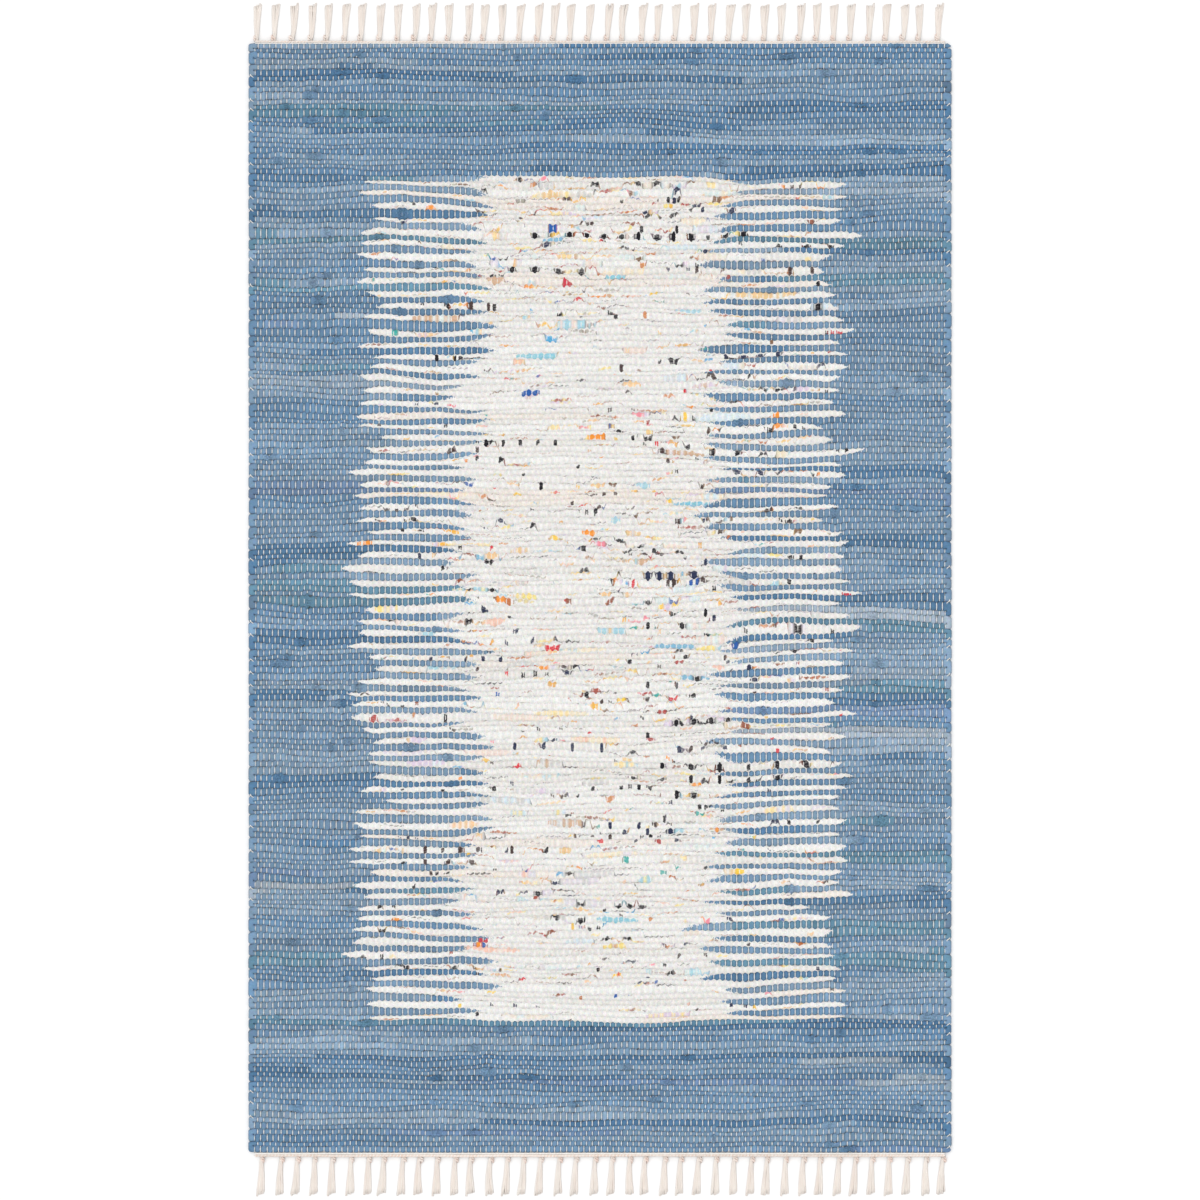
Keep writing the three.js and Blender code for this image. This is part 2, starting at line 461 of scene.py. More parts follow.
FLECK_KINDS = (
    FleckKind(0.15, (1, 1), (0.28, 0.70), WARMS + BRIGHTS + DARKS * 2, strays=0.8),
    FleckKind(0.32, (1, 4), (0.15, 0.35), WARMS + BRIGHTS + PALES * 2, strays=0.8, mixing=0.5),
    FleckKind(0.20, (3, 9), (0.14, 0.34), PALES + WARMS + GREYS, strays=0.9, mixing=0.5),
    FleckKind(0.022, (2, 5), (0.6, 1.2), BRIGHTS + PALES * 3, mixing=0.3),
    FleckKind(0.06, (6, 22), (0.7, 1.5), FAINTS * 3 + PALES, mixing=0.3),
    FleckKind(0.006, (10, 24), (0.4, 0.8), SKIES, strays=0.3),
    FleckKind(0.0015, (14, 24), (1.4, 1.5), GREYS[:2], end_tone=BLACK),
    FleckKind(0.017, (1, 1), (0.5, 1.0), DARKS, (2, 6), (5, 10), 0.3, on_top=True),
    FleckKind(0.065, (1, 1), (0.25, 0.75), DARKS, (1, 3), (3, 9), 0.6),
    FleckKind(0.0010, (1, 1), (0.5, 1.2), DARKS[:4], (12, 30), (3, 5), 0.3, on_top=True),
    FleckKind(0.006, (1, 2), (0.5, 1.1), ("#d8323f", "#c9404f", "#f2953a", "#2f5fa8"), (2, 4)),
    FleckKind(0.28, (3, 9), (0.05, 0.13), DUSTY, strays=1.0),
    FleckKind(0.024, (3, 9), (0.12, 0.24), DARKS, strays=0.9),
)


@dataclass
class RagPlan:
    """What rag each weft is at each warp end: its tones, where they meet, its joins and flecks.

    The two tones are interlocked: every other weft carries the border's blue further in towards
    the middle, so the tones meet in long fingers.

    Attributes:
        loom: the weave's plan.
        seed: the seed of all that is chosen here.
        long_meets: where blue and white meet on the wefts with long blue ends, left and right.
        short_meets: the same on the wefts between them.
        meet_drift: how far such a meeting strays together with its neighbours.
        drift_wefts: how many wefts stray together.
        meet_stray: how far it strays on its own.
        blue_tail: the length over which a blue end tapers into the white.
        white_tail: the length over which a white end tapers into the blue.
        fleck_rate: flecks for each white warp gap.
        busy_spread: how much more flecks lie in some places than in others, as a power of e.
        busy_ends: how common flecks are at the far end and at the near end.
        join_rate: rag joins for each warp gap.
        join_sizes: the least and most half length of a join's lump, in warp gaps.
        join_margin: joins lie at least so many warp ends from the long edges.
    """

    loom: Loom
    seed: int = 20
    long_meets: tuple[float, float] = (-176 * MM, 171 * MM)
    short_meets: tuple[float, float] = (-300 * MM, 305 * MM)
    meet_drift: float = 8.5 * MM
    drift_wefts: float = 4.0
    meet_stray: float = 11.9 * MM
    blue_tail: float = 24 * MM
    white_tail: float = 11 * MM
    fleck_rate: float = 0.222
    busy_spread: float = 0.45
    busy_ends: tuple[float, float] = (1.25, 0.75)
    join_rate: float = 0.0048
    join_sizes: tuple[float, float] = (0.8, 2.9)
    join_margin: int = 4

    BLUES = (
        ("#7492ae", 6.0),
        ("#809bb4", 4.2),
        ("#6789a8", 4.0),
        ("#8da4ba", 1.4),
        ("#567c9e", 2.3),
        ("#9babbb", 0.5),
        ("#668ea6", 0.8),
        ("#728eb0", 0.3),
    )
    WHITES = (("#e3e1de", 5.0), ("#e6e5e2", 3.0), ("#dfddd9", 2.0), ("#e4ddd6", 0.8))

    # The end borders are woven of a slightly deeper blue, and lie this many tails inside the blue.
    BORDER_TINT = (0.88, 0.935, 0.97)
    ALL_BLUE = 20.0

    # A mark has three values: it lies there where the first is above 0, and the others are its
    # place across the rag and its half width.
    NO_FLECK = (-1.0, 0.0, 0.3)
    HERE = 1.4

    def __post_init__(self) -> None:
        """Choose everything once, from one seeded source."""
        self.rng = np.random.default_rng(self.seed)
        self.shape = (self.loom.wefts, self.loom.warp_ends)
        self.reach, self.tail_sign, self.tail_place = self._meets()
        self.bulge = self._joins()
        self.blue = self._tones(self.BLUES, pieces=2.6, spread=0.05)
        self.blue[self.reach == self.ALL_BLUE] *= self.BORDER_TINT
        self.white = self._tones(self.WHITES, pieces=1.8, spread=0.010)
        self.fleck, self.fleck_tone = self._flecks()

    def _meets(self) -> tuple[Array, Array, Array]:
        """Work out how far each place lies inside the blue, and how the tones taper there.

        Returns:
            The reach into the blue in tail lengths, the taper's sign and its place across the
            rag, each of shape (wefts, warp ends).
        """
        wefts = self.shape[0]
        weft = np.arange(wefts)[:, None]
        x = self.loom.warp_x()[None, :]
        is_long = weft % 2 == 0
        drift = self.meet_drift * soft_noise(self.rng, (wefts, 2), rows=self.drift_wefts)
        stray = self.meet_stray * self.rng.standard_normal((wefts, 2))
        left, right = np.split(drift + stray, 2, axis=1)
        left = left + np.where(is_long, self.long_meets[0], self.short_meets[0])
        right = right + np.where(is_long, self.long_meets[1], self.short_meets[1])
        reach = np.maximum(left - x, x - right)
        reach = reach / np.where(is_long, self.blue_tail, self.white_tail)
        in_border = (weft < self.loom.end_wefts) | (weft >= wefts - self.loom.end_wefts)
        reach = np.where(in_border, self.ALL_BLUE, reach)
        sign = np.where(is_long, 1.0, -1.0) * np.ones_like(x)
        place = self.rng.uniform(-0.5, 0.5, (wefts, 1)) * np.ones_like(x)
        return reach, sign, place

    def _joins(self) -> Array:
        """Place the lumps where one rag is laid on into the next.

        Returns:
            The lumps, 0 to 1, shape (wefts, warp ends).
        """
        lumps = np.zeros(self.shape)
        ends = np.arange(self.shape[1])
        counts = self.rng.poisson(self.join_rate * self.shape[1], self.shape[0])
        for weft, count in enumerate(counts):
            for place in self.rng.uniform(self.join_margin, ends[-1] - self.join_margin, count):
                size = self.rng.uniform(*self.join_sizes)
                lump = np.exp(-((np.abs(ends - place) / size) ** 3))
                lumps[weft] = np.maximum(lumps[weft], lump)
            # Two draws for each weft are left unused: without them all later rags would change.
            self.rng.uniform(size=2)
        return lumps * smoothstep(self.reach, -0.8, 0.2)

    def _tones(self, weighted: tuple[tuple[str, float], ...], pieces: float, spread: float) -> Array:
        """Colour the wefts rag by rag, with slow fading along each.

        Args:
            weighted: the tones and how common each is.
            pieces: how many new rags begin on a weft, on average.
            spread: how far a rag's own tone strays, as a share.

        Returns:
            The tone at each place, shape (wefts, warp ends, 3).
        """
        tones = palette(tuple(tone for tone, _ in weighted))
        odds = np.array([weight for _, weight in weighted])
        odds /= odds.sum()
        total = self.shape[0] * self.shape[1]
        starts = np.sort(self.rng.integers(0, total, int(pieces * self.shape[0])))
        which = np.searchsorted(starts, np.arange(total), side="right")
        chosen = self.rng.choice(len(tones), size=len(starts) + 1, p=odds)
        own = 1 + spread * self.rng.standard_normal((len(starts) + 1, 1))
        along = (tones[chosen] * own)[which].reshape(*self.shape, 3)
        turned = np.where((np.arange(self.shape[0]) % 2 == 1)[:, None, None], along[:, ::-1], along)
        fading = soft_noise(self.rng, self.shape, columns=7)
        fading = fading + 1.5 * self.rng.standard_normal(self.shape)
        return np.clip(turned * (1 + spread * fading[:, :, None]), 0, 1)

    def _flecks(self) -> tuple[Array, Array]:
        """Scatter the coloured marks over the white rags.

        Returns:
            The marks and their tones, both of shape (wefts, warp ends, 3).
        """
        marks = np.zeros((*self.shape, 3)) + self.NO_FLECK
        tones = np.ones((*self.shape, 3))
        odds = np.array([kind.weight for kind in FLECK_KINDS])
        odds = odds / odds.sum()
        wefts, ends = np.nonzero(self.reach < -0.3)
        count = int(self.fleck_rate * len(wefts))
        stray = self.busy_spread * soft_noise(self.rng, self.shape, rows=6, columns=14)
        busy = np.exp(stray)[wefts, ends]
        busy *= between(self.busy_ends, wefts / self.shape[0])
        for pick in self.rng.choice(len(wefts), count, p=busy / busy.sum()):
            kind = FLECK_KINDS[self.rng.choice(len(FLECK_KINDS), p=odds)]
            chosen = palette(tuple(kind.tones[n] for n in self.rng.integers(len(kind.tones), size=2)))
            spacing = self.rng.integers(kind.spacing[0], kind.spacing[1] + 1)
            weft, end = wefts[pick], ends[pick]
            if kind.on_top:
                spacing += spacing % 2
                end += (end + weft) % 2
            where = self.rng.uniform(-kind.strays, kind.strays)
            for repeat in range(self.rng.integers(kind.repeats[0], kind.repeats[1] + 1)):
                long = self.rng.integers(kind.warps[0], kind.warps[1] + 1)
                first = end + repeat * spacing
                last = min(first + long, self.shape[1] - 1)
                if last > first and self.reach[weft, first:last].max() < -0.2:
                    self._lay_fleck(marks[weft], tones[weft], (first, last), kind, chosen, where)
        return marks, tones

    def _lay_fleck(
        self,
        marks: Array,
        tones: Array,
        gaps: tuple[int, int],
        kind: FleckKind,
        chosen: Array,
        where: float,
    ) -> None:
        """Lay one mark on a weft.

        Args:
            marks: the weft's marks, changed here.
            tones: the weft's tones of marks, changed here.
            gaps: the mark's first warp end and the one after its last.
            kind: its kind.
            chosen: its two tones.
            where: its place across the rag.
        """
        first, last = gaps
        count = last - first
        around = slice(first - 1, last + 1)
        tapered = 1 - 0.5 * np.abs(np.linspace(-1, 1, count)) ** 2 if count > 2 else np.ones(count)
        half = self.rng.uniform(*kind.width) * self.rng.uniform(0.65, 1, count) * tapered
        slant = self.rng.uniform(-0.3, 0.3) / count
        stray = 0.08 * self.rng.standard_normal(count + 2)
        marks[first:last, 0] = self.HERE
        marks[around, 1] = where + slant * np.arange(-1, count + 1) + stray
        marks[around, 2] = np.pad(half, 1, mode="edge")
        second = self.rng.uniform(size=count + 2) < kind.mixing
        tones[around] = np.where(second[:, None], chosen[1], chosen[0])
        if kind.end_tone:
            for end_gap in (first, last - 1):
                tones[end_gap - 1 : end_gap + 2] = palette((kind.end_tone,))[0]


@dataclass
class Weave:
    """The woven cloth's yarns as they lie: where each weft and warp end goes.

    Attributes:
        loom: the weave's plan.
        rags: the rags' plan.
        seed: the seed of all that strays here.
        middle: the height of the cloth's middle plane.
        weft_top: how far a weft's crown stands above the middle where it goes over a warp end.
        weft_dip: the same where it goes under one.
        warp_top: how far a warp float's axis stands above the middle.
        uneven_rag: how much a rag's thickness strays along it, as a share.
        uneven_weft: how much it strays from weft to weft.
        join_bulk: how much thicker a weft is at a join, as a share.
        meet_waist: how much thinner it is where the two tones meet, as a share.
        warp_wobble: how far a warp end strays over a few wefts.
        warp_drift: how far it strays over many.
        row_stray: how far a weft's middle line strays at each warp end.
        uneven_crown: how much the height of the crowns strays, as a share.
        uneven_girth: how much the girth of the wefts strays.
    """

    loom: Loom
    rags: RagPlan
    seed: int = 21
    middle: float = 3.25 * MM
    weft_top: float = 2.95 * MM
    weft_dip: float = 1.4 * MM
    warp_top: float = 1.95 * MM
    uneven_rag: float = 0.19
    uneven_weft: float = 0.10
    join_bulk: float = 0.32
    meet_waist: float = 0.2
    warp_wobble: float = 0.22 * MM
    warp_drift: float = 0.3 * MM
    row_stray: float = 0.22 * MM
    uneven_crown: float = 0.06
    uneven_girth: float = 0.07

    def __post_init__(self) -> None:
        """Beat the wefts together and let the warp ends stray a little.

        It keeps the y of the edges between wefts, each weft's thickness and middle line, the x of
        the warp ends, how high and thick each crown is for its size, and where a weft lies over
        the warp, all at each warp end.
        """
        rng = np.random.default_rng(self.seed)
        shape, reach = self.rags.shape, self.rags.reach
        uneven = self.uneven_rag * soft_noise(rng, shape, columns=9)
        uneven = uneven + self.uneven_weft * rng.standard_normal((shape[0], 1))
        fullness = np.exp(uneven) * (1 + self.join_bulk * self.rags.bulge)
        fullness *= 1 - self.meet_waist * np.exp(-(reach**2)) * (reach < RagPlan.ALL_BLUE)
        self.edges = self.loom.wandered_edges(fullness)
        self.thick = -np.diff(self.edges, axis=0)
        stray = self.warp_wobble * soft_noise(rng, shape, rows=2.5)
        stray = stray + self.warp_drift * soft_noise(rng, shape, rows=20, columns=2)
        self.x = self.loom.warp_x()[None, :] + stray
        self.mid_y = (self.edges[1:] + self.edges[:-1]) / 2
        self.mid_y = self.mid_y + self.row_stray * rng.standard_normal(shape)
        self.crown = 1 + self.uneven_crown * soft_noise(rng, shape, columns=0.7)
        self.girth = 1 + self.uneven_girth * soft_noise(rng, shape, columns=0.7)
        end, weft = np.meshgrid(np.arange(shape[1]), np.arange(shape[0]))
        self.weft_over = (end + weft) % 2 == 0
        self.rng = rng


@dataclass
class RagWefts:
    """The wefts: one flattened rag for each row, turned round the long edge into the next row.

    Attributes:
        weave: the yarns as they lie.
        sets: the number of interleaved pieces.
        turn_rings: how far round its turn each ring lies, 0 to 1.
        squareness: how square a turn is, from 0, square, to 1, round.
        turn_past: the least and most that a turn reaches past the cloth's mean edge.
        turn_fullness: how far a turn reaches along the rug, in weft thicknesses.
        turn_core: how far the inside of a turn lies from its root, as a share of its depth.
        turn_pinch: how far the two halves of a turn part on its inside.
        turn_half: half the height of a turn.
        turn_painted_shade: how much painted crevice shade the rag's material puts on a turn, 0 to 1.
        over_girth: half a weft's girth where it goes over a warp end, in weft thicknesses.
        under_girth: the same where it goes under one.
        finger_shoulders: how much fuller the shoulders of a white rag are, as a share.
        panel_shoulders: how much more so between two other white rags.
        white_rise: how much higher a white rag lies where it goes under a warp end.
        join_lift: how steeply a join rises out of its dip.
        join_rise: how much higher a join stands.
        join_rough: how far a join's corners stray across, along and up.
    """

    weave: Weave
    sets: int = 3
    turn_rings: tuple[float, ...] = (0.08, 0.22, 0.40, 0.60, 0.78, 0.92, 1.0)
    squareness: float = 0.40
    turn_past: tuple[float, float] = (0.8 * MM, 1.5 * MM)
    turn_fullness: float = 1.05
    turn_core: float = 0.2
    turn_pinch: float = 0.2 * MM
    turn_half: float = 2.55 * MM
    turn_painted_shade: float = 0.15
    over_girth: float = 0.67
    under_girth: float = 0.47
    finger_shoulders: float = 0.22
    panel_shoulders: float = 0.30
    white_rise: float = 0.5 * MM
    join_lift: float = 1.6
    join_rise: float = 0.3 * MM
    join_rough: tuple[float, float, float] = (0.7 * MM, 1.15 * MM, 0.25 * MM)

    # A weft's corners across and up from its middle line, as shares of its half girth and height,
    # the share of the bake map that each side after them gets, and how much painted shade each
    # corner takes in the groove to the next weft, on the rows and on the turns.
    CORNERS = ((1.0, 0.0), (0.6, 0.88), (-0.6, 0.88), (-1.0, 0.0), (0.0, -0.95))
    SHARES = (0.24, 0.28, 0.24, 0.12, 0.12)
    SHOULDERS = (1, 2)
    UNDERSIDE = 4
    ROW_GROOVE_SHADE = (1.0, 0.0, 0.0, 1.0, 0.4)
    TURN_GROOVE_SHADE = (0.9, 0.45, 0.1, 0.35, 0.3)

    # How the rag's first end narrows over its last rings.
    FIRST_END = (1.0, 1.0, 0.98, 0.92, 0.75, 0.35)

    def _row_rings(self) -> tuple[Array, Array]:
        """Lay each weft's rings at the warp ends.

        Returns:
            The corners, shape (wefts, warp ends, 5, 3), and how deep each ring dips, 0 to 1.
        """
        w = self.weave
        lifted = np.clip(w.rags.bulge * self.join_lift, 0, 1)
        over = np.where(w.weft_over, 1.0, lifted)
        white = smoothstep(-w.rags.reach, -0.5, 0.5)
        dip = w.weft_dip + self.white_rise * white
        top = (dip + (w.weft_top - dip) * over) * w.crown + self.join_rise * lifted
        bottom = np.where(w.weft_over, -w.weft_dip, -w.weft_top)
        centre = w.middle + (top + bottom) / 2
        half = (top - bottom) / 2
        girth = np.where(w.weft_over, self.over_girth, self.under_girth) * w.girth * w.thick
        in_panel = white * np.minimum(np.roll(white, 1, axis=0), np.roll(white, -1, axis=0))
        fuller = 1 + self.finger_shoulders * white + self.panel_shoulders * in_panel
        rings = np.empty((*w.rags.shape, len(self.CORNERS), 3))
        for n, (side, up) in enumerate(self.CORNERS):
            rings[:, :, n, 0] = w.x
            rings[:, :, n, 1] = w.mid_y + side * girth * (fuller if n in self.SHOULDERS else 1.0)
            rings[:, :, n, 2] = centre + up * half
        rough = w.rng.standard_normal(rings.shape) * self.join_rough
        return rings + rough * w.rags.bulge[:, :, None, None], 1 - over

    def _turn(self, weft: int, side: int) -> Array:
        """Shape the turn from one weft to the next round a long edge.

        Args:
            weft: the weft that turns into the next one.
            side: -1 for the left edge, 1 for the right.

        Returns:
            The rings from this weft's end to the next one's, shape (turn rings, 5, 3).
        """
        w = self.weave
        end = 0 if side < 0 else -1
        start_x = w.x[weft, end]
        middle_y = w.edges[weft + 1, end]
        here, there = w.thick[weft, end], w.thick[weft + 1, end]
        depth = w.loom.half_width - abs(start_x) + w.rng.uniform(*self.turn_past)
        rings = []
        for t in self.turn_rings:
            out = math.sin(math.pi * t)
            along = math.cos(math.pi * t)
            high = (here if along > 0 else there) * self.turn_fullness
            outer_x = start_x + side * depth * max(out, 0) ** self.squareness
            outer_y = middle_y + math.copysign(abs(along) ** self.squareness, along) * high
            inner_x = start_x + side * depth * self.turn_core * out
            inner_y = middle_y + along * self.turn_pinch
            rings.append(self._turn_ring(np.array([outer_x, outer_y]), np.array([inner_x, inner_y])))
        return np.array(rings)

    def _turn_ring(self, outer: Array, inner: Array) -> Array:
        """Shape one ring of a turn between its outer and inner edge, shape (5, 3)."""
        ring = np.empty((len(self.CORNERS), 3))
        for n, (side, up) in enumerate(self.CORNERS):
            ring[n, :2] = inner + (outer - inner) * (side * 0.5 + 0.5)
            ring[n, 2] = self.weave.middle + up * self.turn_half
        return ring

    def _round_last_end(self, ring: Array) -> Array:
        """Round off the end of the last weft, past its last ring, shape (turn rings, 5, 3)."""
        depth = self.weave.loom.half_width - ring[:, 0].mean()
        middle = ring.mean(axis=0)
        rings = []
        for t in np.linspace(0, 1, len(self.turn_rings) + 1)[1:]:
            shrink = math.sqrt(max(1 - (0.98 * t) ** 3, 0))
            moved = middle + (ring - middle) * shrink
            moved[:, 0] = ring[:, 0] + depth * t
            rings.append(moved)
        return np.array(rings)

    def _round_first_end(self, row: Array) -> None:
        """Draw the first weft's own end out to the long edge and round it off.

        Args:
            row: the first weft's rings, shape (warp ends, 5, 3), changed here.
        """
        count = len(self.FIRST_END)
        end, start_x = row[-count:], row[-count - 1, 0, 0]
        stretch = np.linspace(0, 1, count + 1)[1:, None] ** 0.8
        end[:, :, 0] = start_x + (self.weave.loom.half_width - start_x) * stretch
        middle = end.mean(axis=1, keepdims=True)
        shrink = np.array(self.FIRST_END)[:, None, None]
        end[:, :, 1:] = (middle + (end - middle) * shrink)[:, :, 1:]

    def _lengthened(self, grid: Array, **padding: Any) -> Array:
        """Lengthen each weft's row by its turn, at the left of even wefts and the right of odd ones.

        Args:
            grid: values at the warp ends, shape (wefts, warp ends, ...).
            padding: how numpy's pad fills the turns.

        Returns:
            The values at all rings, shape (wefts, rings, ...).
        """
        turn = len(self.turn_rings)
        rest = ((0, 0),) * (grid.ndim - 2)
        longer = np.empty((grid.shape[0], grid.shape[1] + turn, *grid.shape[2:]))
        longer[0::2] = np.pad(grid[0::2], ((0, 0), (turn, 0), *rest), **padding)
        longer[1::2] = np.pad(grid[1::2], ((0, 0), (0, turn), *rest), **padding)
        return longer

    def _marks(self, dips: Array) -> dict[str, Array]:
        """Carry the rags' plan over to the rings.

        Args:
            dips: how deep each ring dips, 0 to 1, shape (wefts, warp ends).

        Returns:
            The marks, each of shape (wefts, rings, 1 or 5, 1 or 3). The section is a corner's place
            across the rag, how deep it dips beside the warp, and how much painted shade it takes in
            the groove; the rag's material paints shade into the crevices from the last two.
        """
        rags = self.weave.rags
        grids = {
            "first_tone": rags.blue,
            "second_tone": rags.white,
            "fleck_tone": rags.fleck_tone,
            "tail": np.stack([rags.reach, rags.tail_sign, rags.tail_place], axis=-1),
            "fleck": rags.fleck,
            "lump": rags.bulge[:, :, None],
        }
        marks = {
            name: self._lengthened(grid, mode="edge")[:, :, None, :] for name, grid in grids.items()
        }
        dip = self._lengthened(dips, constant_values=self.turn_painted_shade)
        in_turn = self._lengthened(np.zeros(dips.shape), constant_values=1)[:, :, None] > 0
        section = np.empty((*dip.shape, len(self.CORNERS), 3))
        section[..., 0] = [side for side, _ in self.CORNERS]
        # The section's last two parts only set painted shade beside the warp floats and in the
        # grooves.
        section[..., 1] = dip[:, :, None]
        section[..., self.UNDERSIDE, 1] = 1 - dip
        section[..., 2] = np.where(in_turn, self.TURN_GROOVE_SHADE, self.ROW_GROOVE_SHADE)
        return marks | {"section": section}

    def build(self) -> list[bpy.types.Object]:
        """Weave the rows into a few interleaved pieces.

        Returns:
            The pieces, each with every third weft.
        """
        rows, dips = self._row_rings()
        self._round_first_end(rows[0])
        rings = []
        for weft, row in enumerate(rows):
            at_left = weft % 2 == 0
            if weft + 1 < len(rows):
                turned = self._turn(weft, -1 if at_left else 1)
            else:
                turned = self._round_last_end(row[-1])
            rings.append(np.concatenate([turned[::-1], row] if at_left else [row, turned]))
        rings = np.array(rings)
        marks = self._marks(dips)
        pieces = []
        for n in range(self.sets):
            chosen = {name: values[n :: self.sets] for name, values in marks.items()}
            tubes = Tubes(rings[n :: self.sets], chosen, self.SHARES)
            pieces.append(build_piece(f"rag_wefts_{n + 1}", [tubes]))
        return pieces


@dataclass
class WarpEnds:
    """The warp: cotton yarns that float over every other weft, and go on into the headings.

    Attributes:
        weave: the yarns as they lie.
        sets: the number of interleaved pieces.
        half_width: half a yarn's width.
        ridge: how far its ridge lies above its axis.
        base: how far its base lies below its axis.
        float_half: half the length of a float, in weft thicknesses.
        into_heading: how far the yarns reach into the headings.
        heading_height: how high they lie there.
        edge_inset: how far the edge yarn lies from the long edge.
        edge_shows: the share of its stitches that show.
        edge_top: how far such a stitch lies above the cloth's middle.
        edge_under: how far the yarn lies below the middle between stitches.
        edge_girth: how much thicker it is than the other yarns.
    """

    weave: Weave
    sets: int = 3
    half_width: float = 0.85 * MM
    ridge: float = 0.68 * MM
    base: float = 0.7 * MM
    float_half: float = 0.15
    into_heading: float = 1.8 * MM
    heading_height: float = 2.7 * MM
    edge_inset: float = 3.6 * MM
    edge_shows: float = 0.42
    edge_top: float = 2.6 * MM
    edge_under: float = 1.9 * MM
    edge_girth: float = 1.3

    # Where a slanted edge stitch starts and ends: outwards, along the rug and up.
    STITCH = ((1.9 * MM, 1.5 * MM, 0.0), (-1.7 * MM, -1.4 * MM, -0.2 * MM))

    def _ring(self, x: Array, y: Array, z: Array, wider: float = 1.0) -> Array:
        """Shape three-sided rings round points, shape (..., 3 corners, 3)."""
        half = self.half_width * wider
        corners = ((half, -self.base), (0.0, self.ridge), (-half, -self.base))
        return np.stack([np.stack([x + dx, y, z + dz], axis=-1) for dx, dz in corners], axis=-2)

    def _yarn(self, end: int) -> Array:
        """Lay one warp end over and under the wefts, from the far end to the near one.

        Args:
            end: which warp end.

        Returns:
            Its rings, shape (rings, 3, 3).
        """
        w = self.weave
        x, y, z = [], [], []
        for weft in range(w.rags.shape[0]):
            middle_y, thick = w.mid_y[weft, end], w.thick[weft, end]
            if w.weft_over[weft, end]:
                places, height = (0.0,), -w.warp_top
            else:
                places, height = (self.float_half, -self.float_half), w.warp_top
            for place in places:
                x.append(w.x[weft, end])
                y.append(middle_y + place * thick)
                z.append(w.middle + height)
        x = np.array([x[0], *x, x[-1]])
        y = np.array([w.edges[0, end] + self.into_heading, *y, w.edges[-1, end] - self.into_heading])
        z = np.array([self.heading_height, *z, self.heading_height])
        return self._ring(x, y, z)

    def _edge_yarn(self, side: int) -> Array:
        """Lay the yarn that shows as short slanted stitches between the turned wefts.

        Args:
            side: -1 for the left edge, 1 for the right.

        Returns:
            Its rings, shape (rings, 3, 3).
        """
        w = self.weave
        end = 0 if side < 0 else -1
        x = side * (w.loom.half_width - self.edge_inset)
        first_groove = 2 if side < 0 else 1
        points = []
        for groove in range(first_groove, w.rags.shape[0], 2):
            shows = w.rng.uniform() < self.edge_shows
            z = w.middle + (self.edge_top if shows else 0.0)
            points.append((x, w.edges[groove - 1, end], w.middle - self.edge_under))
            for out, along, up in self.STITCH:
                points.append((x + side * out, w.edges[groove, end] + along, z + up))
        return self._ring(*np.array(points).T, wider=self.edge_girth)

    def build(self) -> list[bpy.types.Object]:
        """Warp the loom.

        Returns:
            The pieces, each with every third warp end, and the two edge yarns.
        """
        yarns = np.array([self._yarn(end) for end in range(self.weave.rags.shape[1])])
        pieces = []
        for n in range(self.sets):
            pieces.append(build_piece(f"warp_ends_{n + 1}", [Tubes(yarns[n :: self.sets])]))
        left, right = self._edge_yarn(-1), self._edge_yarn(1)
        halves = [
            Tubes(left[None], region=(0.0, 0.0, 1.0, 0.5)),
            Tubes(right[None], region=(0.0, 0.5, 1.0, 1.0)),
        ]
        pieces.append(build_piece("edge_yarns", halves))
        return pieces


@dataclass(frozen=True)
class FringePlan:
    """The sizes of one fringe, as in the rug's solids.

    Attributes:
        end: the end of the rug that it is on.
        cloth_end: the y of the cloth's end there.
        heading: the heading's width.
        cords: the heading's cords, each as its start, its width and its number of plies.
        reach: how far the tips lie from the cloth's end.
        seed: the seed of the solids' unevenness.
        tassels: the number of tassels.
        spacing: the distance between two knots.
        row_offset: how far the row of knots lies beside the middle.
        jitter: how far a knot strays sideways.
        lean: the least and most that a tassel's tips lie beside its knot.
        heading_length: the heading's length.
    """

    end: End
    cloth_end: float
    heading: float
    cords: tuple[tuple[float, float, int], ...]
    reach: float
    seed: int
    tassels: int = 40
    spacing: float = 22.722 * MM
    row_offset: float = -4.2 * MM
    jitter: float = 1.8 * MM
    lean: tuple[float, float] = (1.7 * MM, 4.1 * MM)
    heading_length: float = 898 * MM

    def knot_x(self) -> Array:
        """Place the knots across the rug, shape (tassels,)."""
        n = np.arange(self.tassels)
        stray = self.jitter * (2 * scatter(n, self.seed) - 1)
        return (n - (self.tassels - 1) / 2) * self.spacing + self.row_offset + stray

    def tip_shift(self) -> Array:
        """Give how far each tassel's tips lie beside its knot, shape (tassels,)."""
        return between(self.lean, scatter(np.arange(self.tassels), self.seed + 1))

    def laid(self, rings: Array) -> Array:
        """Take rings laid out from the cloth's end towards +Y to this fringe's end of the rug."""
        turned = rings * (self.end.value, self.end.value, 1.0)
        turned[..., 1] += self.cloth_end
        return turned


FAR_CORDS = ((-0.7 * MM, 2.2 * MM, 2), (0.9 * MM, 3.2 * MM, 2))
NEAR_CORDS = ((0.3 * MM, 3.0 * MM, 2), (1.9 * MM, 5.2 * MM, 3))


